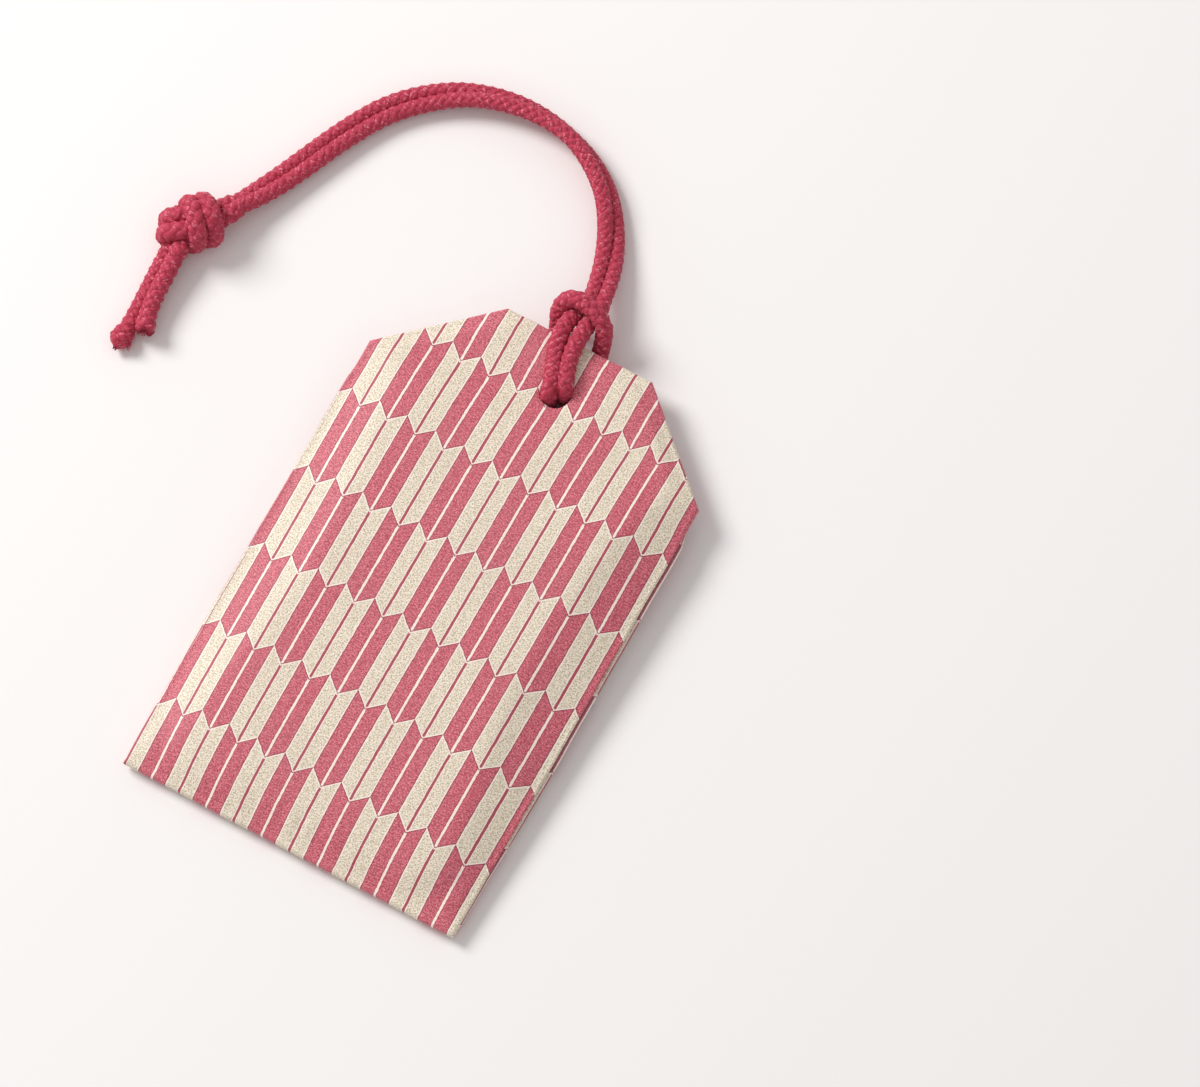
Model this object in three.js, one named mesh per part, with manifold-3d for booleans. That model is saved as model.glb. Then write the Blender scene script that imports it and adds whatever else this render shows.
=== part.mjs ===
// A scent sachet: a flat padded pouch with two cut-off top corners, hung on one doubled braided cord.
// It lies on its back. X runs across it, Y along it towards the cord, and Z up through its face.
// The origin is under the middle of the pouch, on the surface that it lies on. Lengths are in mm.
// The routes of the cord are measured from the pouch's lower edge.
import * as THREE from "three";
import { mergeVertices } from "three/addons/utils/BufferGeometryUtils.js";
import Module from "manifold-3d";

const wasm = await Module();
wasm.setup();

// Pouch outline
const pouchWidth = 40;
const pouchLength = 62.5;
const chamferAcross = 11.25;
const chamferAlong = 10;

// Layers of the pouch, from the back to the face
const backThickness = 0.25;
const coverThickness = 0.25;
const cardThickness = 0.5;
const layerGap = 0.15;
const flapWidth = 4;
const notchWidth = 1.4;
const backInset = 0.5;
const cardSlack = 0.1;

// Padded crown of the face
const crownRise = 2;
const neckLength = 8.2;

// Scent packet
const packetWidth = 30;
const packetLength = 39;
const sealWidth = 1;
const skinThickness = 0.1;
const fillMargin = 1;
const packetPower = 6;

// Punched hole
const holeDiameter = 3.8;
const holeAcross = 0.8;
const holeFromTop = 6.3;

// Cord
const cordDiameter = 1.7;
const tightCordDiameter = 1.5;
const pairSpacing = 1.9;

// One overrun for every cut
const overrun = 0.1;

// Counts
const edgeSteps = [8, 10, 3, 4, 3, 10];
const foldSteps = 6;
const packetSteps = 44;
const cordSides = 8;
const knotStretches = 8;
const stretchSteps = 5;
const faceShares = [0.12, 0.3, 0.48, 0.64, 0.78, 0.9, 1];
const packetShares = [0.25, 0.5, 0.7, 0.85, 0.95, 1];

// Heights of the layers above the back of the pouch
const flapBottom = backThickness + layerGap;
const flapTop = flapBottom + coverThickness;
const cardBottom = flapTop + layerGap;
const cardTop = cardBottom + cardThickness;
const faceInside = cardTop + layerGap;
const faceOutside = faceInside + coverThickness;
const foldRadius = (faceOutside - flapBottom) / 2;
const foldInsideRadius = foldRadius - coverThickness;
const foldMiddle = flapBottom + foldRadius;
const backSkinBottom = cardTop + layerGap;
const backSkinTop = backSkinBottom + skinThickness;
const fillBottom = backSkinTop + layerGap;
const frontSkinBottom = fillBottom;
const packetRise = faceInside + crownRise - layerGap - skinThickness - frontSkinBottom;
const fillRise = packetRise - layerGap;

// Places in the pouch
const crownBottom = foldRadius;
const crownTop = pouchLength - neckLength;
const crownMiddle = (crownBottom + crownTop) / 2;
const crownHalfLength = (crownTop - crownBottom) / 2;
const crownHalfWidth = pouchWidth / 2 - foldRadius;
const holeAlong = pouchLength - holeFromTop;
const holeRadius = holeDiameter / 2;

// The cord's legs lie under the pouch from the hole up, and lift that end of it
const liftedAlong = holeAlong - cordDiameter / 2;
const pouchTilt = Math.asin((cordDiameter + overrun) / liftedAlong);
const pouchMiddle = (pouchLength / 2) * Math.cos(pouchTilt) - foldMiddle * Math.sin(pouchTilt);

// Six corners of the pouch, counterclockwise from the lower left, drawn in by an inset
function pouchCorners(inset) {
  const half = pouchWidth / 2;
  const shoulder = pouchLength - chamferAlong;
  const corners = [
    new THREE.Vector2(-half, 0),
    new THREE.Vector2(half, 0),
    new THREE.Vector2(half, shoulder),
    new THREE.Vector2(half - chamferAcross, pouchLength),
    new THREE.Vector2(chamferAcross - half, pouchLength),
    new THREE.Vector2(-half, shoulder),
  ];
  return corners.map((corner, i) => {
    const before = corners[(i + corners.length - 1) % corners.length];
    const after = corners[(i + 1) % corners.length];
    const comesIn = corner.clone().sub(before).normalize();
    const goesOut = after.clone().sub(corner).normalize();
    const inwards = new THREE.Vector2(-comesIn.y - goesOut.y, comesIn.x + goesOut.x).normalize();
    const lean = inwards.x * -comesIn.y + inwards.y * comesIn.x;
    return corner.clone().addScaledVector(inwards, inset / lean);
  });
}

// A ring of points along the outline, drawn in by an inset, with its height from a function
function outlineRing(inset, height) {
  const corners = pouchCorners(inset);
  return corners.flatMap((corner, i) => {
    const next = corners[(i + 1) % corners.length];
    return Array.from({ length: edgeSteps[i] }, (_, k) => {
      const at = corner.clone().lerp(next, k / edgeSteps[i]);
      return new THREE.Vector3(at.x, at.y, height(at.x, at.y));
    });
  });
}

// Height of the crown over the flat rim: the product of two flat-topped bulges
function crown(x, y) {
  const bulge = (t) => (Math.abs(t) < 1 ? (1 - t ** 4) ** 1.25 : 0);
  return crownRise * bulge(x / crownHalfWidth) * bulge((y - crownMiddle) / crownHalfLength);
}

// A ring shrunk towards the middle of the crown, with its height from a function
function shrunkRing(ring, share, height) {
  return ring.map((point) => {
    const x = point.x * share;
    const y = crownMiddle + (point.y - crownMiddle) * share;
    return new THREE.Vector3(x, y, height(x, y));
  });
}

// A closed body from a middle point, through rings of as many points each, to another middle point
function closedLoft(first, rings, last) {
  const count = rings[0].length;
  const points = [first, ...rings.flat(), last];
  const index = [];
  for (let k = 0; k < count; k += 1) {
    const next = (k + 1) % count;
    index.push(0, 1 + k, 1 + next);
    for (let r = 0; r + 1 < rings.length; r += 1) {
      const a = 1 + r * count;
      const b = a + count;
      index.push(a + k, b + k, b + next, a + k, b + next, a + next);
    }
    const a = 1 + (rings.length - 1) * count;
    index.push(a + k, points.length - 1, a + next);
  }
  const geometry = new THREE.BufferGeometry().setFromPoints(points);
  geometry.setIndex(index);
  return geometry;
}

// A solid for cutting and joining, from a closed geometry
function solidOf(geometry) {
  const bare = geometry.clone();
  bare.deleteAttribute("normal");
  bare.deleteAttribute("uv");
  const merged = mergeVertices(bare, 1e-4);
  const vertProperties = merged.attributes.position.array;
  const triVerts = new Uint32Array(merged.index.array);
  return new wasm.Manifold(new wasm.Mesh({ numProp: 3, vertProperties, triVerts }));
}

function geometryOf(solid) {
  const mesh = solid.getMesh();
  const geometry = new THREE.BufferGeometry();
  geometry.setAttribute("position", new THREE.BufferAttribute(mesh.vertProperties, 3));
  geometry.setIndex(new THREE.BufferAttribute(mesh.triVerts, 1));
  return geometry;
}

// The round punch that goes through every layer
function holePunch() {
  const depth = faceOutside + overrun * 2;
  const punch = new THREE.CylinderGeometry(holeRadius, holeRadius, depth, 24);
  punch.rotateX(Math.PI / 2);
  punch.translate(holeAcross, holeAlong, depth / 2 - overrun);
  return solidOf(punch);
}

// A wedge that parts two flaps at a corner of the outline
function flapNotch(corner) {
  const outer = pouchCorners(foldRadius)[corner];
  const inner = pouchCorners(flapWidth + overrun)[corner];
  const across = inner.clone().sub(outer).normalize();
  const side = new THREE.Vector2(-across.y, across.x).multiplyScalar(notchWidth / 2);
  const wedge = new THREE.Shape([outer, inner.clone().sub(side), inner.clone().add(side)]);
  const depth = coverThickness + layerGap;
  const geometry = new THREE.ExtrudeGeometry(wedge, { depth, bevelEnabled: false });
  geometry.translate(0, 0, flapBottom - layerGap / 2);
  return solidOf(geometry);
}

// The printed sheet: the crowned face, the fold round the rim and the flaps turned in behind
function frontCoverGeometry() {
  const outside = (x, y) => faceOutside + crown(x, y);
  const inside = (x, y) => faceInside + crown(x, y);
  const rim = outlineRing(foldRadius, () => 0);
  const fold = (radius, turns) =>
    turns.map((turn) => {
      const angle = Math.PI / 2 - (Math.PI * turn) / foldSteps;
      const inset = foldRadius - radius * Math.cos(angle);
      return outlineRing(inset, () => foldMiddle + radius * Math.sin(angle));
    });
  const turns = Array.from({ length: foldSteps + 1 }, (_, k) => k);
  const rings = [
    ...faceShares.slice(0, -1).map((share) => shrunkRing(rim, share, outside)),
    ...fold(foldRadius, turns),
    outlineRing(flapWidth, () => flapBottom),
    outlineRing(flapWidth, () => flapTop),
    ...fold(foldInsideRadius, turns.slice().reverse()),
    ...faceShares.slice(0, -1).reverse().map((share) => shrunkRing(rim, share, inside)),
  ];
  const top = new THREE.Vector3(0, crownMiddle, outside(0, crownMiddle));
  const bottom = new THREE.Vector3(0, crownMiddle, inside(0, crownMiddle));
  let sheet = solidOf(closedLoft(top, rings, bottom)).subtract(holePunch());
  for (let corner = 0; corner < edgeSteps.length; corner += 1) {
    sheet = sheet.subtract(flapNotch(corner));
  }
  return geometryOf(sheet);
}

// A flat plate with the pouch's outline and the punched hole
function plateGeometry(inset, bottom, thickness) {
  const outline = new THREE.Shape(pouchCorners(inset));
  const hole = new THREE.Path();
  hole.absarc(holeAcross, holeAlong, holeRadius, 0, Math.PI * 2, true);
  outline.holes.push(hole);
  const geometry = new THREE.ExtrudeGeometry(outline, {
    depth: thickness,
    bevelEnabled: false,
    curveSegments: 24,
  });
  geometry.translate(0, 0, bottom);
  return geometry;
}

// A ring of the packet's outline, a superellipse, grown by a margin and shrunk to a share
function packetRing(margin, share, z) {
  const width = (packetWidth / 2 + margin) * share;
  const length = (packetLength / 2 + margin) * share;
  const reach = (c) => Math.sign(c) * Math.abs(c) ** (2 / packetPower);
  return Array.from({ length: packetSteps }, (_, k) => {
    const angle = (Math.PI * 2 * k) / packetSteps;
    return new THREE.Vector3(
      width * reach(Math.cos(angle)),
      crownMiddle + length * reach(Math.sin(angle)),
      z,
    );
  });
}

// How full the packet is at a share of its width: flat in the middle, nothing at the seal
const fullness = (share) => 1 - share ** 4;

function frontSkinGeometry() {
  const heights = (bottom) => (share) => packetRing(0, share, bottom + packetRise * fullness(share));
  const top = frontSkinBottom + skinThickness;
  const rings = [
    ...packetShares.map(heights(top)),
    packetRing(sealWidth, 1, top),
    packetRing(sealWidth, 1, frontSkinBottom),
    ...packetShares.slice().reverse().map(heights(frontSkinBottom)),
  ];
  const middle = (bottom) => new THREE.Vector3(0, crownMiddle, bottom + packetRise);
  return closedLoft(middle(top), rings, middle(frontSkinBottom));
}

function backSkinGeometry() {
  const rings = [packetRing(sealWidth, 1, backSkinTop), packetRing(sealWidth, 1, backSkinBottom)];
  const middle = (z) => new THREE.Vector3(0, crownMiddle, z);
  return closedLoft(middle(backSkinTop), rings, middle(backSkinBottom));
}

function fillingGeometry() {
  const rings = packetShares.map((share) =>
    packetRing(-fillMargin, share, fillBottom + fillRise * fullness(share)),
  );
  const middle = (z) => new THREE.Vector3(0, crownMiddle, z);
  return closedLoft(middle(fillBottom + fillRise), rings, middle(fillBottom));
}

// A tube along a smooth curve through hand-chosen points
function cordGeometry(points, diameter, steps) {
  const radius = diameter / 2;
  const section = new THREE.Shape(
    Array.from({ length: cordSides }, (_, k) => {
      const angle = (Math.PI * 2 * (k + 0.5)) / cordSides;
      return new THREE.Vector2(radius * Math.cos(angle), radius * Math.sin(angle));
    }),
  );
  const extrudePath = new THREE.CatmullRomCurve3(points, false, "centripetal");
  return new THREE.ExtrudeGeometry(section, { steps, extrudePath, bevelEnabled: false });
}

const place = ([x, y, z]) => new THREE.Vector3(x, y, z);

// The hitch, from the end of its left strand through the hole, behind, over and back to the right one
const hitchRoute = [
  [-1.9, 67.25, 3.05], [-2, 65.6, 3.6], [-2.15, 64, 4.2], [-2.15, 62.4, 4.6], [-1.85, 60.6, 4.6],
  [-1.05, 58.9, 4.55], [-0.25, 57.35, 4.45], [0.1, 56.2, 4.05], [0.17, 55.75, 3.3],
  [0.15, 55.7, 2.3], [0.05, 56, 1.35], [-0.35, 57, 0.85], [-1.15, 58.8, 0.8], [-2.3, 60.8, 0.8],
  [-3.15, 62.6, 0.95], [-3.6, 63.9, 1.8], [-3.85, 64.7, 3.2], [-3.55, 65.6, 4.6],
  [-2.7, 66.1, 5.35], [-1.8, 66.15, 5.55], [-0.8, 66, 5.55], [0.15, 65.75, 5.4],
  [1.05, 65.4, 4.9], [1.6, 64.9, 4.1], [1.8, 64.25, 3.1], [1.9, 63.4, 1.9], [2, 62.4, 1.05],
  [1.95, 60.8, 0.8], [1.85, 59, 0.78], [1.68, 57.9, 0.84], [1.52, 57.15, 1.35],
  [1.45, 56.98, 2.3], [1.45, 57.02, 3.5], [1.4, 57.35, 4.25], [1.2, 58.1, 4.6],
  [0.7, 59.5, 4.65], [0.1, 61, 4.62], [-0.1, 62.4, 4.6], [-0.15, 64, 4.2], [-0.15, 65.6, 3.6],
  [-0.1, 67.5, 3.05],
];

// The doubled run from the hitch to the knot: the middle of the pair, and how far it is rolled,
// in degrees, from lying side by side, with the strand on the left of travel higher
const runRoute = [
  [-1, 67.7, 2.95, 0], [-1.35, 70, 2.25, 18], [-1.95, 72.2, 1.75, 28], [-3, 74.6, 1.5, 35],
  [-4.3, 76.8, 1.46, 38], [-6, 79, 1.46, 39], [-8, 80.7, 1.48, 41], [-10.2, 82, 1.53, 44],
  [-12.6, 82.95, 1.58, 48], [-15.2, 83.5, 1.6, 51], [-17.9, 83.7, 1.6, 51],
  [-20.5, 83.5, 1.57, 48], [-23.1, 82.9, 1.53, 44], [-25.6, 81.9, 1.48, 40],
  [-28, 80.3, 1.44, 36], [-30.2, 78.3, 1.41, 34], [-32.2, 76, 1.38, 32], [-34, 73.2, 1.37, 30],
  [-35.6, 70.2, 1.42, 33], [-37, 67, 1.5, 38], [-38.3, 63.9, 1.6, 42], [-39.4, 61.4, 1.75, 45],
  [-40.35, 59.35, 1.95, 45],
];

// The knot, a true overhand one: each strand goes in under the band, turns over and back beneath
// the tails, comes up as the band, and dives behind to leave through that turn
const knotLeftRoute = [
  [-39.92, 58.72, 2.58], [-40.8, 57.25, 2.5], [-41.69, 56.18, 2.6], [-42.59, 55.08, 2.95],
  [-43.45, 53.91, 3.35], [-44.35, 53.19, 3.35], [-45.15, 52.84, 2.9], [-45.52, 52.63, 2.1],
  [-45.38, 52.62, 1.3], [-44.68, 52.81, 0.85], [-43.67, 53.1, 0.78], [-42.74, 53.36, 1],
  [-42.06, 53.4, 1.9], [-41.85, 53.56, 3.1], [-42.05, 54.05, 4.15], [-42.62, 54.85, 4.65],
  [-43.42, 55.8, 4.65], [-44.22, 56.45, 4.1], [-44.8, 56.55, 3.1], [-44.8, 56, 2.25],
  [-44.63, 55, 2], [-44.48, 53.62, 1.85], [-44.46, 52.7, 1.62], [-44.48, 52, 1.35],
  [-44.48, 51.35, 1.12],
];
const knotRightRoute = [
  [-41.1, 59.36, 1.32], [-41.95, 58.05, 1.8], [-42.83, 57.02, 2.5], [-43.78, 56.02, 3.1],
  [-44.6, 55.23, 3.4], [-45.34, 54.7, 3.3], [-45.98, 54.37, 2.6], [-46.14, 54.11, 1.7],
  [-45.81, 54.09, 1], [-44.82, 54.16, 0.78], [-43.61, 54.34, 0.76], [-42.31, 54.62, 0.78],
  [-41.22, 54.86, 1.1], [-40.55, 55.11, 2.1], [-40.6, 55.59, 3.3], [-41.15, 56.27, 4.3],
  [-42.05, 57.06, 4.5], [-43.1, 57.5, 3.9], [-43.75, 57.5, 2.9], [-43.75, 56.95, 2.15],
  [-43.65, 55.73, 1.95], [-43.52, 54.36, 1.95], [-43.38, 53.3, 2.03], [-43.28, 52.35, 2.2],
  [-43.18, 51.5, 2.38],
];

// The cut ends past the knot
const leftTailRoute = [
  [-43.13, 51.2, 2.42], [-42.98, 49.2, 2.3], [-42.8, 47, 2.2], [-42.5, 45.15, 2.05],
  [-42.11, 43.63, 1.9], [-41.74, 42.55, 1.8],
];
const rightTailRoute = [
  [-44.47, 51.05, 1.02], [-44.4, 49, 0.88], [-44.25, 46.8, 0.85], [-44.1, 44.8, 0.85],
  [-44, 43.05, 0.85], [-44.05, 41.5, 0.85], [-44.17, 40.3, 0.85],
];

// One strand of the doubled run: the middle moved sideways by half the spacing, turned by the roll
function runStrand(side) {
  return runRoute.map(([x, y, z, roll], i) => {
    const before = runRoute[Math.max(i - 1, 0)];
    const after = runRoute[Math.min(i + 1, runRoute.length - 1)];
    const travel = new THREE.Vector2(after[0] - before[0], after[1] - before[1]).normalize();
    const angle = THREE.MathUtils.degToRad(roll);
    const level = (side * pairSpacing * Math.cos(angle)) / 2;
    const rise = (side * pairSpacing * Math.sin(angle)) / 2;
    return new THREE.Vector3(x - travel.y * level, y + travel.x * level, z + rise);
  });
}

// Both strands of the knot, joined from short stretches that each overlap the next
function knotGeometry() {
  const stretches = [knotLeftRoute, knotRightRoute].flatMap((route) => {
    const strand = new THREE.CatmullRomCurve3(route.map(place), false, "centripetal");
    const points = strand.getSpacedPoints(knotStretches * stretchSteps);
    return Array.from({ length: knotStretches }, (_, k) => {
      const first = k * stretchSteps;
      const last = Math.min(first + stretchSteps + 1, points.length - 1);
      const stretch = points.slice(first, last + 1);
      return solidOf(cordGeometry(stretch, tightCordDiameter, stretchSteps));
    });
  });
  return geometryOf(stretches.reduce((whole, stretch) => whole.add(stretch)));
}

// Materials
const printed = new THREE.MeshStandardMaterial({ color: 0xd98c98, roughness: 0.85, metalness: 0 });
const backing = new THREE.MeshStandardMaterial({ color: 0xe4dcc0, roughness: 0.9, metalness: 0 });
const card = new THREE.MeshStandardMaterial({ color: 0xe8e2d4, roughness: 0.9, metalness: 0 });
const nonwoven = new THREE.MeshStandardMaterial({ color: 0xf2efe8, roughness: 0.95, metalness: 0 });
const incense = new THREE.MeshStandardMaterial({ color: 0x8a6238, roughness: 1, metalness: 0 });
const braid = new THREE.MeshStandardMaterial({ color: 0xb82a4e, roughness: 0.7, metalness: 0 });

function named(name, geometry, material) {
  const mesh = new THREE.Mesh(geometry, material);
  mesh.name = name;
  return mesh;
}

const pouch = new THREE.Group();
pouch.rotation.x = pouchTilt;
pouch.position.z = -backInset * Math.sin(pouchTilt);
pouch.add(
  named("back_cover", plateGeometry(backInset, 0, backThickness), backing),
  named("front_cover", frontCoverGeometry(), printed),
  named("stiffener_card", plateGeometry(foldRadius + cardSlack, cardBottom, cardThickness), card),
  named("scent_packet_back", backSkinGeometry(), nonwoven),
  named("scent_packet_front", frontSkinGeometry(), nonwoven),
  named("scent_filling", fillingGeometry(), incense),
);

const sachet = new THREE.Group();
sachet.position.y = -pouchMiddle;
sachet.add(
  pouch,
  named("cord_hitch", cordGeometry(hitchRoute.map(place), tightCordDiameter, 78), braid),
  named("cord_run_left", cordGeometry(runStrand(1), cordDiameter, 40), braid),
  named("cord_run_right", cordGeometry(runStrand(-1), cordDiameter, 40), braid),
  named("cord_knot", knotGeometry(), braid),
  named("cord_tail_left", cordGeometry(leftTailRoute.map(place), cordDiameter, 8), braid),
  named("cord_tail_right", cordGeometry(rightTailRoute.map(place), cordDiameter, 9), braid),
);

export default sachet;
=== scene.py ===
"""Scent sachet: a printed crepe pouch over a card, a scented packet inside, and a braided cord
hitched through a punched hole and knotted double. Sizes in the settings are metres; shapes are
worked out in millimetres in the pouch's own coordinates and then laid in the frame."""

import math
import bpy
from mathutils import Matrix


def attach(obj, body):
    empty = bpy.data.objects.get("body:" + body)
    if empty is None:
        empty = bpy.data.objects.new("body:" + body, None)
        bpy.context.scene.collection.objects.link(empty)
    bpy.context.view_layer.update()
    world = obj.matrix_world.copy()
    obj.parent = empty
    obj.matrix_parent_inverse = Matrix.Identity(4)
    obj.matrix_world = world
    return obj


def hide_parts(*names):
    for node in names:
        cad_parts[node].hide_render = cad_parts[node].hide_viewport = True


bl_info = {
    "name": "Scent sachet",
    "version": (1, 0, 0),
    "blender": (4, 5, 0),
    "location": "View3D > Sidebar > Sachet",
    "description": "Builds a scent sachet's printed pouch, backing, packet and braided cord",
    "category": "Object",
}

import bpy
import numpy as np
from mathutils import Matrix, Vector

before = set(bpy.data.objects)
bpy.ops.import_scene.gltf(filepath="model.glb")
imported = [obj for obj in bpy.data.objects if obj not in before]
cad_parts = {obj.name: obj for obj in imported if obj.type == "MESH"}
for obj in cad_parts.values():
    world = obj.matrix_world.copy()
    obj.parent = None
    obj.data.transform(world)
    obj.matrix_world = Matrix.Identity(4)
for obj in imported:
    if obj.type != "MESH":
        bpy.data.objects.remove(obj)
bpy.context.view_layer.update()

MM = 0.001

# How the pouch lies, in mm: the cord's legs lift it by 1.8 at 55.35 from its foot
POUCH_TILT = math.asin(1.8 / 55.35)
POUCH_MIDDLE = 31.1993
POUCH_DROP = 0.5 * math.sin(POUCH_TILT)

# How the print lies on the cloth, in mm
PRINT_ACROSS = np.array([-0.243, 0.101, -0.141, -0.037, -0.151, 0.016, 0.035, 0.317, 0.064, 0.135])
PRINT_ALONG = np.array([0.462, 0.059, -0.184, -0.024, 0.101, -0.064, 0.107, -0.196, -0.032, -0.219])
PRINT_START = 45.3

# The print of the back's cloth: where it starts, how high it comes up the sides, the place of the
# quill on them with its height and the print's growth with height, and where painted shade darkens
# the upper part of the sides
BACK_TURN = 0.21
SIDE_TOP = 48.6
SIDE_QUILL, SIDE_QUILL_HEIGHT, SIDE_GROWTH = 20.65, 0.85, 0.6
SIDE_PAINTED_SHADE = 20.8, 20.9

# The lift of the long edges: where it starts at the neck and how soft, and how far it fades and
# rounds off towards the lower corners; then the filled part of the long sides in the same way
LIFT_TOP, LIFT_SOFT, LIFT_FADE, LIFT_CORNER = 49.2, 2.7, 26, 2.5
SPAN_LOW, SPAN_LOW_SOFT, SPAN_TOP, SPAN_TOP_SOFT = 4, 14, 49.6, 1.6

# The punched hole draws the cloth down round it, by a depth that fades over a distance, and the
# cells of a face's grid make way for it up to a margin
HOLE_DIP, HOLE_DIP_REACH, HOLE_MARGIN = 0.1, 0.6, 0.9

# Heights at which the folded edge has a ring of points, from 1 on its top to -1 on its underside,
# and the height and width of the seam between the face's cloth and the back's
FOLD_LEVELS = [0.993, 0.97, 0.93, 0.88, 0.83, 0.78, 0.74, 0.7, 0.66, 0.62, 0.58, 0.54, 0.5, 0.44,
               0.3, 0.1, -0.15, -0.4, -0.6, -0.75, -0.86, -0.93, -0.97, -0.993, -1]
SEAM_LEVEL, SEAM_WIDTH = 0.62, 0.12

# The cloth simulation: its settings, how many frames it runs, how many times as large the copy is
# and how far a point may move, in mm
CLOTH_TRIAL = {"quality": 6, "mass": 0.25, "tension_stiffness": 18, "compression_stiffness": 18,
               "shear_stiffness": 8, "bending_stiffness": 0.35, "shrink_min": -0.012,
               "use_pressure": True, "uniform_pressure_force": 2.5}
CLOTH_FRAMES, CLOTH_SCALE, CLOTH_CAP = 20, 25, 0.4

# Heights of the packet's back skin and of its filling's foot over the pouch's back, how far the
# front skin and the filling rise, and where the packet's middle lies along the pouch, in mm
PACKET_BOTTOM, PACKET_FILL = 1.45, 1.7
SKIN_RISE, FILL_RISE, PACKET_MIDDLE = 1.2, 1.05, 27.475

# Steps along the cord's line and along a bundle of its yarn, sides of the core, and how far the
# line runs on past its ends, in steps; then the direction that its frames are turned from
LINE_STEP, BUNDLE_STEP, CORE_SIDES, LINE_SPARE = 0.1, 0.105, 12, 20
FRAME_START = np.array([0.36, 0.48, 0.8])

# How much thicker the cord gets at its two ends, over which length, and the radius of a loose
# thread, in mm
BULB, BULB_LENGTH, CUT_FLARE, CUT_LENGTH = 0.36, 2.3, 0.3, 2.2
THREAD_RADIUS = 0.035

# The camera, which was fitted to the photograph, the lamp and the floor, in radians and metres
CAMERA_TILT, CAMERA_TURN, CAMERA_ROLL = 0.32173639, -0.88253618, 0.51302824
CAMERA_TARGET, CAMERA_DISTANCE = Vector((0.0119744, 0.0138793, 0)), 0.979614
LAMP_SIDE, LAMP_DISTANCE, LAMP_SIZE = Vector((-0.76, 0.12, 0.64)), 0.8, 0.36
FLOOR_HALF = 1.5

# The order of a quad's corners that shows its other side
OTHER_SIDE = [0, 3, 2, 1]


# ---------------------------------------------------------------- settings


def colour(red, green, blue):
    """A colour of 0 to 255 per channel as the linear values that a shader takes."""
    share = np.array([red, green, blue]) / 255
    linear = np.where(share <= 0.04045, share / 12.92, ((share + 0.055) / 1.055) ** 2.4)
    return tuple(float(c) for c in linear)


def length(name, description, millimetres):
    """A length, held in metres."""
    return bpy.props.FloatProperty(
        name=name, description=description, default=millimetres * MM,
        min=0, precision=5, subtype="DISTANCE", unit="LENGTH",
    )


def tint(name, description, red, green, blue):
    """A colour, given as 0 to 255 per channel."""
    return bpy.props.FloatVectorProperty(
        name=name, description=description, default=colour(red, green, blue),
        size=3, min=0, max=1, subtype="COLOR",
    )


def factor(name, description, default):
    """How many times as large something is."""
    return bpy.props.FloatProperty(
        name=name, description=description, default=default, min=0.5, max=2)


class SachetPouchSettings(bpy.types.PropertyGroup):
    """Sizes and print of the pouch"""

    width: length("Width", "Width of the pouch over its folds", 40)
    length: length("Length", "Length of the pouch over its folds", 62.5)
    chamfer_across: length("Chamfer across", "Width that each cut top corner takes", 11.25)
    chamfer_along: length("Chamfer along", "Length that each cut top corner takes", 10)
    cloth: length("Cloth", "Thickness of the printed crepe", 0.25)
    fold_radius: length("Fold", "Half of the height of the folded edge", 0.65)
    fold_middle: length("Fold height", "Height of the middle of the folded edge", 1.05)
    flap: length("Flap", "Width of the flaps folded behind the card", 4)
    notch: length("Notch", "Gap between two flaps at a corner", 1.4)
    crown: length("Crown", "How far the packet lifts the middle of the face", 1.75)
    side_lift: length("Side lift", "How far the packet lifts the long edges of the face", 0.12)
    side_flare: length("Side flare", "How far the long sides stand out at their foot", 0.4)
    seam_depth: length("Seam depth", "How deep the seam along the long sides sinks in", 0.22)
    neck: length("Neck", "Flat stretch under the top edge", 8.2)
    hole_diameter: length("Hole", "Diameter of the punched hole", 3.4)
    hole_across: length("Hole across", "How far the hole lies right of the middle", 0.5)
    hole_from_top: length("Hole from top", "Distance of the hole from the top edge", 5.95)
    quill_spacing: length("Quill spacing", "Distance between two quills of the print", 3.442)
    feather_length: length("Feather length", "Length of one arrow feather", 9.37)
    feather_rise: length("Feather rise", "How far a feather's barb rises to its edge", 1.45)
    red: tint("Red", "Red of the print", 214, 94, 109)
    cream: tint("Cream", "Ground of the print", 242, 228, 205)


class SachetLiningSettings(bpy.types.PropertyGroup):
    """Sizes and colours of what is behind and inside the printed cloth"""

    backing_inset: length("Backing inset", "How far the backing stays inside the edge", 0.5)
    backing: length("Backing", "Thickness of the backing", 0.25)
    packet_width: length("Packet width", "Width of the filled part of the packet", 30)
    packet_length: length("Packet length", "Length of the filled part of the packet", 39)
    seal: length("Seal", "Width of the packet's sealed border", 1)
    skin: length("Skin", "Thickness of the packet's nonwoven", 0.1)
    card_colour: tint("Card colour", "Colour of the stiffener card", 232, 226, 212)
    skin_colour: tint("Skin colour", "Colour of the nonwoven", 242, 239, 232)
    wood_colour: tint("Wood colour", "Colour of the crushed scented wood", 138, 98, 56)


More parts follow.
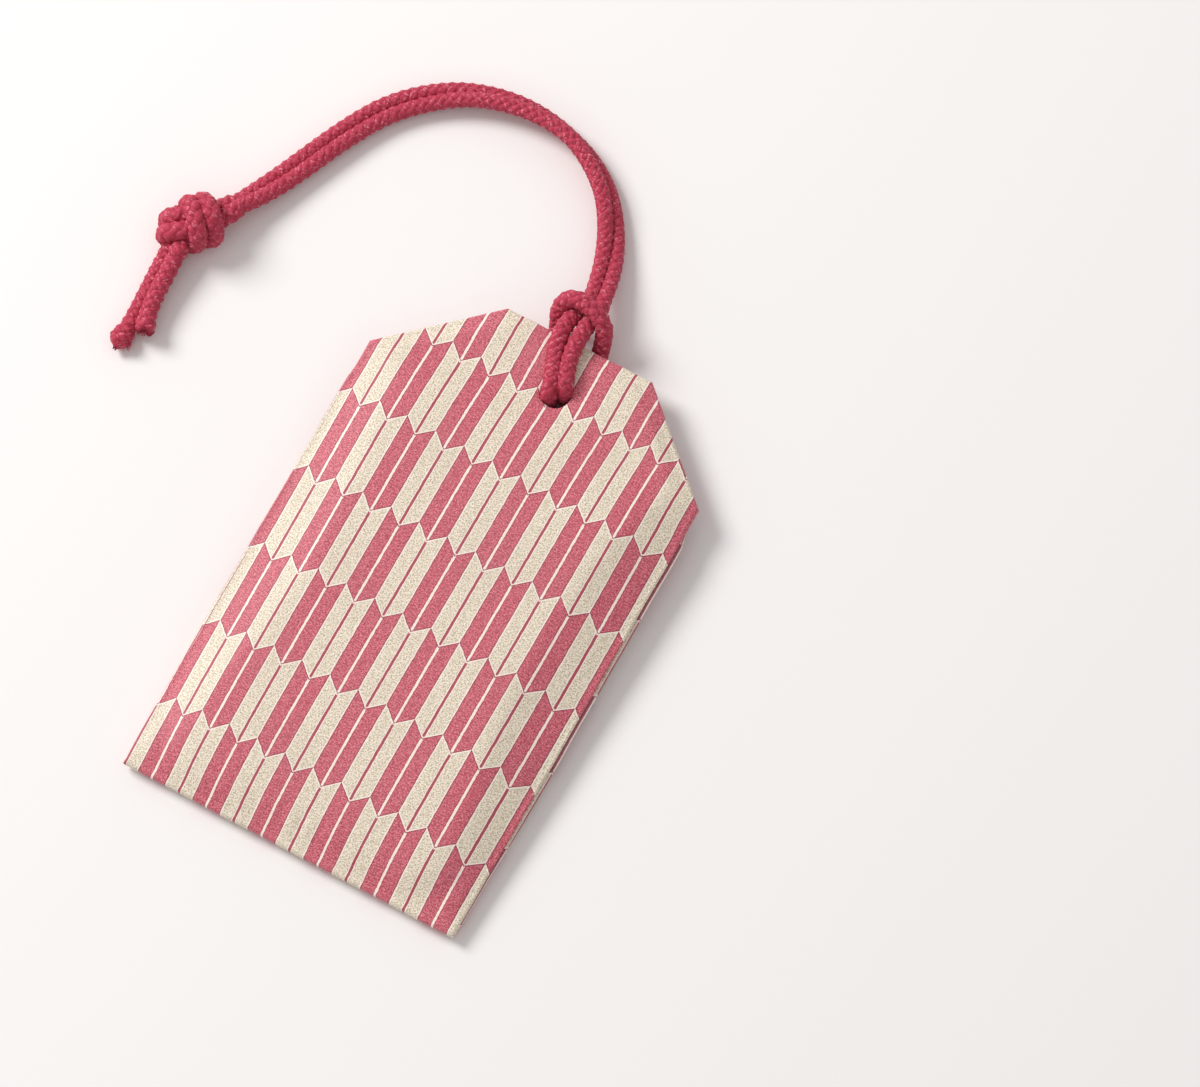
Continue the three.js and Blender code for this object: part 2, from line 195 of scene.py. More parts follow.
class SachetCordSettings(bpy.types.PropertyGroup):
    """Sizes and colours of the braided cord"""

    diameter: length("Diameter", "Diameter over the braid", 1.86)
    lay: length("Lay", "Length in which one bundle goes once round", 4.2)
    bundle_width: length("Bundle width", "Width of one bundle of yarn", 1.12)
    bundle_height: length("Bundle height", "Thickness of one bundle of yarn", 0.32)
    hitch_swell: factor(
        "Hitch swell", "How much thicker the braid is where it turns in the hitch", 1.1)
    knot_swell: factor("Knot swell", "How much wider the braid spreads in the knot", 1.2)
    pair_spacing: length("Pair spacing", "Distance between the two strands of the run", 1.42)
    tail_swell: factor("Tail swell", "How much wider the braid is in its two free ends", 1.1)
    bundles: bpy.props.IntProperty(
        name="Bundles", description="Bundles that turn each way", default=4, min=2, max=8
    )
    yarn: tint("Yarn", "Colour of the yarn", 184, 54, 78)
    # Painted shade: a darker colour that stands in for the shadow deep between the bundles
    painted_shade: tint("Shade", "Colour deep between the bundles", 158, 42, 62)
    shine: tint("Shine", "Colour where single filaments catch the light", 236, 140, 158)


class SachetStageSettings(bpy.types.PropertyGroup):
    """Floor, light and camera"""

    floor: tint("Floor", "Colour of the floor", 246, 242, 240)
    sky: bpy.props.FloatProperty(
        name="Sky", description="Strength of the even light from all sides", default=0.55, min=0
    )
    lamp: bpy.props.FloatProperty(
        name="Lamp", description="Power of the soft lamp", default=5.0, min=0,
        subtype="POWER", unit="POWER",
    )
    focal: bpy.props.FloatProperty(
        name="Focal length", description="Focal length of the camera, in millimetres",
        default=279.0, min=1, subtype="NONE",
    )


# ---------------------------------------------------------------- meshes


def put_mesh(name, points, faces, uv=None, attributes=None):
    """Makes an object from points in metres and a list of face arrays, one per corner count. The
    map is given for each point, or for each corner of the faces."""
    mesh = bpy.data.meshes.new(name)
    loops = np.concatenate([f.reshape(-1) for f in faces]).astype(np.int32)
    counts = np.concatenate([np.full(len(f), f.shape[1]) for f in faces]).astype(np.int32)
    starts = np.concatenate([[0], np.cumsum(counts)[:-1]]).astype(np.int32)
    mesh.vertices.add(len(points))
    mesh.vertices.foreach_set("co", np.ascontiguousarray(points, dtype=np.float32).reshape(-1))
    mesh.loops.add(len(loops))
    mesh.loops.foreach_set("vertex_index", loops)
    mesh.polygons.add(len(counts))
    mesh.polygons.foreach_set("loop_start", starts)
    mesh.polygons.foreach_set("use_smooth", np.ones(len(counts), dtype=bool))
    mesh.update(calc_edges=True)
    if uv is not None:
        layer = mesh.uv_layers.new(name="cloth")
        corners = uv[loops] if len(uv) == len(points) else uv
        layer.data.foreach_set("uv", corners.astype(np.float32).reshape(-1))
    for key, values in (attributes or {}).items():
        held = mesh.attributes.new(key, "FLOAT", "POINT")
        held.data.foreach_set("value", values.astype(np.float32))
    if mesh.validate():
        raise RuntimeError(f"{name} was built with faults")
    piece = bpy.data.objects.new(name, mesh)
    bpy.context.scene.collection.objects.link(piece)
    return piece


def unit(vectors):
    """Vectors of the same directions and of length 1."""
    return vectors / np.linalg.norm(vectors, axis=-1, keepdims=True)


def eased(share):
    """The smooth step 3 t^2 - 2 t^3, t being the share kept between 0 and 1."""
    share = np.clip(share, 0, 1)
    return share * share * (3 - 2 * share)


def full_turn(steps):
    """Angles that go once round in even steps."""
    return np.linspace(0, 2 * math.pi, steps, endpoint=False)


def lifted(places, height):
    """Places in the plan with a height for each, or with one for all."""
    height = np.broadcast_to(height, places.shape[:-1])
    return np.concatenate([places, height[..., None]], axis=-1)


def row_faces(rows, closed=False):
    """Quads between neighbouring rows of point numbers. Closed rows join their end to their
    start."""
    if closed:
        rows = np.concatenate([rows, rows[:, :1]], axis=1)
    return np.stack([rows[:-1, :-1], rows[:-1, 1:], rows[1:, 1:], rows[1:, :-1]],
                    axis=-1).reshape(-1, 4)


def grid_faces(rows, columns, closed=False):
    """Quads of a grid whose points are numbered row by row."""
    return row_faces(np.arange(rows * columns).reshape(rows, columns), closed)


def lay_in_frame(points):
    """Pouch coordinates in mm to the frame in metres: y and z are turned about x by the tilt, the
    pouch is let down onto its lower edge, and its middle is moved to y = 0."""
    x, y, z = points[..., 0], points[..., 1], points[..., 2]
    sine, cosine = math.sin(POUCH_TILT), math.cos(POUCH_TILT)
    laid = np.stack([x, y * cosine - z * sine - POUCH_MIDDLE, y * sine + z * cosine - POUCH_DROP],
                    axis=-1)
    return laid * MM


def dress(piece, slot, material, *nodes):
    """Gives a piece its material and body, and lets it stand for its CAD nodes; slot is not used.
    """
    piece.data.materials.clear()
    piece.data.materials.append(material)
    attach(piece, "root")
    if nodes:
        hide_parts(*nodes)
    return piece


def thicken(piece, thickness):
    """Gives a sheet its thickness, under its outer side, and keeps the result as its mesh."""
    modifier = piece.modifiers.new("Thickness", "SOLIDIFY")
    modifier.thickness, modifier.offset = thickness, -1.0
    modifier.use_rim = modifier.use_even_offset = True
    graph = bpy.context.evaluated_depsgraph_get()
    made = bpy.data.meshes.new_from_object(
        piece.evaluated_get(graph), preserve_all_data_layers=True, depsgraph=graph
    )
    old = piece.data
    piece.modifiers.clear()
    piece.data = made
    made.name = piece.name
    bpy.data.meshes.remove(old)


# ---------------------------------------------------------------- shader maths


class Value:
    """An output of a node. Arithmetic on it adds Math nodes to the same tree."""

    def __init__(self, tree, socket):
        self.tree, self.socket = tree, socket

    def math(self, operation, *terms):
        node = self.tree.nodes.new("ShaderNodeMath")
        node.operation = operation
        for socket, term in zip(node.inputs, terms):
            feed(self.tree, socket, term)
        return Value(self.tree, node.outputs[0])

    def __add__(self, other):
        return self.math("ADD", self, other)

    def __radd__(self, other):
        return self.math("ADD", other, self)

    def __sub__(self, other):
        return self.math("SUBTRACT", self, other)

    def __rsub__(self, other):
        return self.math("SUBTRACT", other, self)

    def __mul__(self, other):
        return self.math("MULTIPLY", self, other)

    def __rmul__(self, other):
        return self.math("MULTIPLY", other, self)

    def __truediv__(self, other):
        return self.math("DIVIDE", self, other)

    def __abs__(self):
        return self.math("ABSOLUTE", self)

    def floor(self):
        return self.math("FLOOR", self)

    def nearest(self):
        return self.math("ROUND", self)

    def over(self, low, high):
        """0 below low and 1 above high, with a smooth rise between them."""
        node = self.tree.nodes.new("ShaderNodeMapRange")
        node.interpolation_type = "SMOOTHSTEP"
        for key, term in (("Value", self), ("From Min", low), ("From Max", high)):
            feed(self.tree, node.inputs[key], term)
        return Value(self.tree, node.outputs["Result"])

    def under(self, low, high):
        """1 below low and 0 above high."""
        return 1 - self.over(low, high)


def feed(tree, socket, term):
    """Links a value to a socket, or sets the socket to a number or a colour."""
    if isinstance(term, Value):
        tree.links.new(term.socket, socket)
    elif hasattr(term, "__len__") and len(socket.default_value) > len(term):
        socket.default_value = (*term, 1)
    else:
        socket.default_value = term


class Finish:
    """A material whose constants sit on the shader itself, and whose patterns are built by name."""

    def __init__(self, name, constants=None):
        self.material = bpy.data.materials.new(name)
        self.material.use_nodes = True
        self.tree = self.material.node_tree
        self.shader = self.tree.nodes["Principled BSDF"]
        for key, value in (constants or {}).items():
            self.shader.inputs[key].default_value = value

    def node(self, kind, settings=None, sockets=None, output=0):
        """A node of any type, its settings first and then its sockets."""
        node = self.tree.nodes.new(kind)
        for key, value in (settings or {}).items():
            setattr(node, key, value)
        for key, value in (sockets or {}).items():
            feed(self.tree, node.inputs[key], value)
        return Value(self.tree, node.outputs[output])

    def split(self, place, count):
        """The first coordinates of a place, as that many values."""
        return [self.node("ShaderNodeSeparateXYZ", None, {0: place}, i) for i in range(count)]

    def cloth(self):
        """The two coordinates of the piece's own map, in mm."""
        return self.split(self.node("ShaderNodeUVMap", {"uv_map": "cloth"}), 2)

    def place(self):
        """Object coordinates, as three values in mm."""
        place = self.node("ShaderNodeTexCoord", None, None, "Object")
        return [part * (1 / MM) for part in self.split(place, 3)]

    def noise(self, x, y, z=0.0, detail=2.0, roughness=0.5):
        """Noise between 0 and 1 whose grains are about as large as one unit."""
        at = self.node("ShaderNodeCombineXYZ", None, {0: x, 1: y, 2: z})
        return self.node("ShaderNodeTexNoise", {"noise_dimensions": "3D"},
                         {"Vector": at, "Scale": 1.0, "Detail": detail, "Roughness": roughness})

    def mix(self, share, first, second):
        """Colour that goes from the first to the second as the share goes from 0 to 1."""
        return self.node("ShaderNodeMix", {"data_type": "RGBA"}, {0: share, 6: first, 7: second}, 2)

    def layers(self, base, *coats):
        """Colours laid over a base one after the other, each by its own share."""
        for share, tone in coats:
            base = self.mix(share, base, tone)
        return base

    def finish(self, base, roughness, height):
        """Links colour and roughness, and turns a height in mm into a bump."""
        feed(self.tree, self.shader.inputs["Base Color"], base)
        feed(self.tree, self.shader.inputs["Roughness"], roughness)
        bump = self.node("ShaderNodeBump", None,
                         {"Strength": 1.0, "Distance": MM, "Height": height})
        feed(self.tree, self.shader.inputs["Normal"], bump)
        return self.material


def printed_crepe(pouch):
    """Arrow feathers on crepe. Quills lie every quill_spacing across. Beside each quill the feather
    ends on v = rise * t, t being 0 on the quill and 1 at the feather's edge, and every
    feather_length along the colour changes; neighbouring columns are of opposite colour."""
    finish = Finish("printed_crepe", {"Specular IOR Level": 0.75, "Sheen Weight": 0.08})
    u, v = finish.cloth()
    spacing, feather, rise = (pouch.quill_spacing / MM, pouch.feather_length / MM,
                              pouch.feather_rise / MM)
    wander = finish.noise(u * 0.9, v * 0.9, 3.1) * 0.14 - 0.07
    jitter = finish.noise(u * 4.0, v * 4.0, 7.7, detail=1.0) * 0.1 - 0.05
    across = u + (wander + jitter) * 0.7
    along = v + wander * 0.8 + jitter
    column = (across / spacing).nearest()
    off = across - column * spacing
    side = abs(off)
    share = side / (spacing / 2)
    along = along - PRINT_START - share * rise
    row = (along / feather).floor()
    cream = (column + row).math("FLOORED_MODULO", column + row, 2.0)
    into = along - row * feather
    slope = spacing / 2 / math.hypot(spacing / 2, rise)
    to_end = into.math("MINIMUM", into, feather - into) * slope
    to_side = spacing / 2 - side

    crinkle = finish.noise(u * 1.3, v * 5.0, 0.0, detail=2.0, roughness=0.65)
    weave = finish.noise(u * 4.4, v * 9.0, 4.0, detail=1.0, roughness=0.6)
    grain = finish.noise(u * 5.4, v * 8.0, 9.0, detail=0.0)
    patch = finish.noise(u * 0.12, v * 0.12, 2.0)

    ground = finish.layers(pouch.cream, (grain.over(0.45, 0.6), colour(182, 170, 142)),
                           (weave.over(0.5, 0.6), colour(252, 235, 218)),
                           (crinkle.under(0.4, 0.48) * 0.5, colour(198, 180, 154)))
    red = finish.layers(pouch.red, (grain.over(0.45, 0.6), colour(162, 46, 70)),
                        (weave.over(0.5, 0.6) * 0.9, colour(232, 136, 146)),
                        (crinkle.under(0.4, 0.48) * 0.6, colour(168, 50, 74)))

    beads = finish.noise(u * 0.8, v * 3.2, 12.0, detail=1.0)
    line = (side + (beads - 0.5) * 0.1).under(0.11, 0.16)
    flank = side.under(0.21, 0.27)
    border = to_side.math("MINIMUM", to_side, to_end)
    pale = colour(254, 236, 224)
    base = finish.layers(
        finish.mix(cream, red, ground),
        (flank * (1 - cream) * 0.6, colour(168, 44, 74)), (line * (1 - cream), pale),
        (flank * cream * 0.85, pale), (side.under(0.13, 0.17) * cream, colour(170, 62, 80)),
        (border.under(0.07, 0.11) * (1 - cream), colour(148, 36, 62)),
        (border.under(0.12, 0.17) * cream * 0.85, pale),
        (patch.over(0.4, 0.7) * 0.06, colour(150, 110, 110)),
        # Painted shade: the upper part of the side walls turns dark red, less so in the cream rows
        (abs(u).over(*SIDE_PAINTED_SHADE) * (0.65 - cream * 0.45), colour(104, 22, 40)))

    height = crinkle * 0.07 + weave * 0.05 + grain * 0.03
    return finish.finish(base, 0.5 + grain * 0.12, height)


def braided_yarn(cord):
    """Filaments run along each bundle, so streaks follow the map's first coordinate; colour darkens
    with the depth held in the attribute "rise", as painted shade deep between the bundles, and pale
    dashes on the raised bundles are painted highlights."""
    finish = Finish("braided_yarn", {"Specular IOR Level": 0.3, "Sheen Weight": 0.06,
                                     "Sheen Roughness": 0.4})
    u, v = finish.cloth()
    rise = finish.node("ShaderNodeAttribute", {"attribute_name": "rise"}, None, "Fac")
    streak = finish.noise(u * 1.4, v * 7.0, 1.0, detail=2.0, roughness=0.6)
    fine = finish.noise(u * 2.4, v * 18.0, 5.0, detail=1.0)
    tuft = finish.noise(u * 2.2, v * 3.0, 8.0, detail=2.0)
    base = finish.layers(
        # Painted shade: the yarn goes to the darker colour where the depth is low
        cord.painted_shade, (rise.over(-0.1, 0.75), cord.yarn),
        (streak.under(0.34, 0.48) * 0.55, colour(150, 36, 56)),
        (tuft.over(0.55, 0.72) * 0.3, colour(204, 74, 98)),
        # Painted highlight: pale dashes on the raised bundles where filaments would catch the light
        (streak.over(0.55, 0.68) * rise.over(0.4, 0.9) * 0.75, cord.shine))
    height = streak * 0.06 + fine * 0.03
    return finish.finish(base, 0.55 + tuft * 0.15, height)


def grey_card(lining):
    """Pulp board: fine specks of darker fibre, and layers that show on its cut edge."""
    finish = Finish("stiff_card", {"Specular IOR Level": 0.3})
    x, y, z = finish.place()
    pulp = finish.noise(x * 2.2, y * 2.2, z * 2.2, detail=4.0, roughness=0.65)
    speck = finish.noise(x * 5.0, y * 5.0, z * 5.0, detail=1.0)
    ply = finish.noise(x * 0.2, y * 0.2, z * 14.0, detail=1.0)
    base = finish.layers(lining.card_colour, (pulp.over(0.4, 0.7) * 0.3, colour(214, 206, 188)),
                         (speck.over(0.68, 0.76) * 0.5, colour(168, 152, 128)),
                         (ply.over(0.5, 0.7) * 0.15, colour(196, 188, 170)))
    return finish.finish(base, 0.85 + pulp * 0.1, pulp * 0.02 + speck * 0.01)


def nonwoven(lining):
    """Pressed fibres with a square lattice of fused dots, one a millimetre."""
    finish = Finish("nonwoven_skin", {"Specular IOR Level": 0.3, "Sheen Weight": 0.1})
    x, y, z = finish.place()
    fibre = finish.noise(x * 2.0, y * 7.0, z, detail=3.0, roughness=0.7)
    cross = finish.noise(x * 7.0, y * 2.0, z + 5.0, detail=3.0, roughness=0.7)
    dot_x = abs(x - x.nearest())
    dot_y = abs(y - y.nearest())
    dots = (dot_x * dot_x + dot_y * dot_y).under(0.02, 0.06)
    base = finish.layers(lining.skin_colour, (fibre.over(0.5, 0.7) * 0.4, colour(226, 222, 212)),
                         (cross.over(0.55, 0.72) * 0.35, colour(250, 248, 244)),
                         (dots * 0.4, colour(214, 210, 200)))
    return finish.finish(base, 0.85 - dots * 0.2, fibre * 0.04 + cross * 0.04 - dots * 0.05)


def crushed_wood(lining):
    """Chips and powder of several browns."""
    finish = Finish("crushed_wood", {"Specular IOR Level": 0.2})
    x, y, z = finish.place()
    at = finish.node("ShaderNodeCombineXYZ", None, {0: x, 1: y * 1.3, 2: z})
    chip = finish.node("ShaderNodeTexVoronoi", {"feature": "F1"}, {"Vector": at, "Scale": 1.6},
                       "Color")
    tone = finish.node("ShaderNodeSeparateColor", None, {0: chip}, 0)
    depth = finish.node("ShaderNodeTexVoronoi", {"feature": "F1"}, {"Vector": at, "Scale": 1.6})
    powder = finish.noise(x * 6.0, y * 6.0, z * 6.0, detail=2.0)
    base = finish.layers(lining.wood_colour, (tone, colour(92, 60, 34)),
                         (tone.over(0.6, 0.9) * 0.6, colour(180, 140, 92)),
                         (powder.over(0.5, 0.7) * 0.4, colour(120, 84, 50)))
    return finish.finish(base, 0.95 - powder * 0.05, 0.2 - depth * 0.25 + powder * 0.04)


# ---------------------------------------------------------------- pouch shapes


def pouch_corners(pouch, inset):
    """The six corners of the outline, moved inwards so that each edge lies inset inside it."""
    half, top = pouch.width / MM / 2, pouch.length / MM
    shoulder = top - pouch.chamfer_along / MM
    plateau = half - pouch.chamfer_across / MM
    corners = np.array([[-half, 0], [half, 0], [half, shoulder], [plateau, top],
                        [-plateau, top], [-half, shoulder]])
    comes = unit(corners - np.roll(corners, 1, axis=0))
    goes = unit(np.roll(corners, -1, axis=0) - corners)
    left_in, left_out = comes[:, ::-1] * [-1, 1], goes[:, ::-1] * [-1, 1]
    inwards = unit(left_in + left_out)
    lean = np.sum(inwards * left_in, axis=1, keepdims=True)
    return corners + inwards * inset / lean


def face_rows(corners, columns, low_rows, high_rows):
    """A grid on the outline's inside: y goes up in rows with one row on the shoulders, and
    x = s * half width at y, s from -1 to 1."""
    y = np.concatenate([np.linspace(corners[1, 1], corners[2, 1], low_rows + 1),
                        np.linspace(corners[2, 1], corners[3, 1], high_rows + 1)[1:]])
    half = np.interp(y, corners[1:4, 1], corners[1:4, 0])
    s = np.linspace(-1, 1, columns + 1)
    return np.stack([s[None] * half[:, None], np.repeat(y[:, None], columns + 1, axis=1)], axis=-1)


def edge_height(pouch, y):
    """How far the long edges are lifted: side_lift times a smooth step down to nothing at the neck,
    and a fall by four fifths towards the lower corners."""
    fold = pouch.fold_radius / MM
    low = np.clip((y - fold) / LIFT_FADE, 0, 1)
    return (pouch.side_lift / MM * eased((LIFT_TOP - y) / LIFT_SOFT) * (0.2 + 0.8 * low)
            * np.clip((y - fold) / LIFT_CORNER, 0, 1))


def face_height(pouch, x, y):
    """Height of the face over its rim: edge + (crown * (1 - t^6)^1.25 - edge) * (1 - s^7), s being
    1 on the long edges, t 1 at the lower edge and the neck, and edge the lift of the long edges."""
    fold = pouch.fold_radius / MM
    top = pouch.length / MM - pouch.neck / MM
    middle, half = (top + fold) / 2, (top - fold) / 2
    s = np.clip(np.abs(x) / (pouch.width / MM / 2 - fold), 0, 1)
    t = np.clip(np.abs((y - middle) / half), 0, 1)
    edge = edge_height(pouch, y)
    return edge + (pouch.crown / MM * (1 - t ** 6) ** 1.25 - edge) * (1 - s ** 7)


def side_span(y):
    """1 along the filled part of the long sides, with smooth steps to 0 at the lower corners and
    the neck."""
    return eased((y - SPAN_LOW) / SPAN_LOW_SOFT) * eased((SPAN_TOP - y) / SPAN_TOP_SOFT)


def flared(pouch, points):
    """Points moved out across the pouch by side_flare * (0.35 + 0.65 * depth) * |x / half|^8, depth
    going from 0 on the rim to 1 at the foot, and by half of that on the left."""
    s = np.clip(np.abs(points[:, 0]) / (pouch.width / MM / 2), 0, 1)
    rim = (pouch.fold_middle + pouch.fold_radius) / MM
    depth = np.clip((rim - points[:, 2]) / (2 * pouch.fold_radius / MM), 0, 1)
    moved = points.copy()
    moved[:, 0] += (np.where(points[:, 0] > 0, 1, -0.5) * pouch.side_flare / MM
                    * (0.35 + 0.65 * depth) * s ** 8 * side_span(points[:, 1]))
    return moved


def print_place(x, y):
    """Where on the print a place of the face lies, in mm. The cloth was laid slightly askew: the
    print is moved by a cubic in s = x / 19 and t = (y - 27) / 27."""
    s, t = x / 19, (y - 27) / 27
    terms = np.stack([1 + 0 * s, s, t, s * s, s * t, t * t, s ** 3, s * s * t, s * t * t, t ** 3],
                     axis=-1)
    return np.stack([x + terms @ PRINT_ACROSS, y + terms @ PRINT_ALONG], axis=-1)


def blown_cloth(pouch, columns=52, low_rows=76, high_rows=14):
    """The crown after a cloth simulation. A coarse and much larger copy of the face starts on the
    crown with a little spare cloth, is held along its rim and blown up. Returned are the coarse
    grid and how far each of its points rose, evened out along the pouch and capped."""
    grid = face_rows(pouch_corners(pouch, pouch.fold_radius / MM), columns, low_rows, high_rows)
    rows = grid.shape[0]
    height = face_height(pouch, grid[..., 0], grid[..., 1])
    scale = CLOTH_SCALE * MM
    start = lifted(grid, height).reshape(-1, 3)
    piece = put_mesh("cloth_trial", start * scale, [grid_faces(rows, columns + 1)])
    rim = np.zeros((rows, columns + 1), dtype=bool)
    rim[[0, -1]] = rim[:, [0, -1]] = True
    held = piece.vertex_groups.new(name="rim")
    held.add(np.flatnonzero(rim).tolist(), 1.0, "REPLACE")
    cloth = piece.modifiers.new("Cloth", "CLOTH").settings
    for key, value in CLOTH_TRIAL.items():
        setattr(cloth, key, value)
    cloth.vertex_group_mass = "rim"
    cloth.effector_weights.gravity = 0
    scene = bpy.context.scene
    for step in range(1, CLOTH_FRAMES + 1):
        scene.frame_set(step)
    graph = bpy.context.evaluated_depsgraph_get()
    shape = piece.evaluated_get(graph).to_mesh()
    moved = np.empty(len(shape.vertices) * 3, dtype=np.float32)
    shape.vertices.foreach_get("co", moved)
    scene.frame_set(1)
    mesh = piece.data
    bpy.data.objects.remove(piece)
    bpy.data.meshes.remove(mesh)
    drift = (moved.reshape(-1, 3) / scale - start)[:, 2].reshape(rows, columns + 1)
    for _ in range(3):
        drift[1:-1] = (drift[:-2] + 2 * drift[1:-1] + drift[2:]) / 4
    return grid, np.clip(drift, -CLOTH_CAP, CLOTH_CAP)


def spread(coarse, fine_rows, fine_columns, rows, columns):
    """Values of a coarse grid read between its points, at fractional rows and columns."""
    r = np.clip(fine_rows, 0, rows - 1.000001)
    c = np.clip(fine_columns, 0, columns - 1.000001)
    r0, c0 = r.astype(int), c.astype(int)
    fr, fc = r - r0, c - c0
    low = coarse[r0, c0] * (1 - fc) + coarse[r0, c0 + 1] * fc
    high = coarse[r0 + 1, c0] * (1 - fc) + coarse[r0 + 1, c0 + 1] * fc
    return low * (1 - fr) + high * fr


def hole_centre(pouch):
    """The middle of the punched hole, in mm."""
    return np.array([pouch.hole_across / MM, (pouch.length - pouch.hole_from_top) / MM])


def hole_patch(pouch, grid):
    """Which cells of a face grid make way for the hole, and the closed row of points round them,
    counter-clockwise."""
    centre = hole_centre(pouch)
    reach = pouch.hole_diameter / MM / 2 + HOLE_MARGIN
    near = np.flatnonzero(np.abs(grid[:, 0, 1] - centre[1]) <= reach)
    r0, r1 = near[0] - 1, near[-1] + 1
    middle = grid[(r0 + r1) // 2, :, 0]
    near = np.flatnonzero(np.abs(middle - centre[0]) <= reach)
    c0, c1 = near[0] - 1, near[-1] + 1
    columns = grid.shape[1]
    loop = np.concatenate([
        r0 * columns + np.arange(c0, c1), np.arange(r0, r1) * columns + c1,
        r1 * columns + np.arange(c1, c0, -1), np.arange(r1, r0, -1) * columns + c0])
    gone = np.zeros((grid.shape[0] - 1, columns - 1), dtype=bool)
    gone[r0:r1, c0:c1] = True
    return centre, loop, gone.reshape(-1)


def face_mesh(pouch, grid, rings):
    """The points and quads of a face with its punched hole: the cells round the hole are replaced
    by rings that go evenly from those cells' border to the circle."""
    rows, columns = grid.shape[:2]
    flat = grid.reshape(-1, 2)
    centre, loop, gone = hole_patch(pouch, grid)
    quads = grid_faces(rows, columns)[~gone]
    rim = centre + unit(flat[loop] - centre) * pouch.hole_diameter / MM / 2
    share = (np.arange(1, rings + 1) / rings)[:, None, None]
    added = flat[loop] * (1 - share) + rim * share
    first = len(flat)
    index = np.concatenate([loop[None], first + np.arange(rings * len(loop)).reshape(rings, -1)])
    quads = np.concatenate([quads, row_faces(index, closed=True)])
    return np.concatenate([flat, added.reshape(-1, 2)]), quads


def used_only(points, faces, *extras):
    """The same mesh without the points that no face uses."""
    used = np.unique(np.concatenate([f.reshape(-1) for f in faces]))
    number = np.zeros(len(points), dtype=np.int64)
    number[used] = np.arange(len(used))
    return (points[used], [number[f] for f in faces], *[extra[used] for extra in extras])


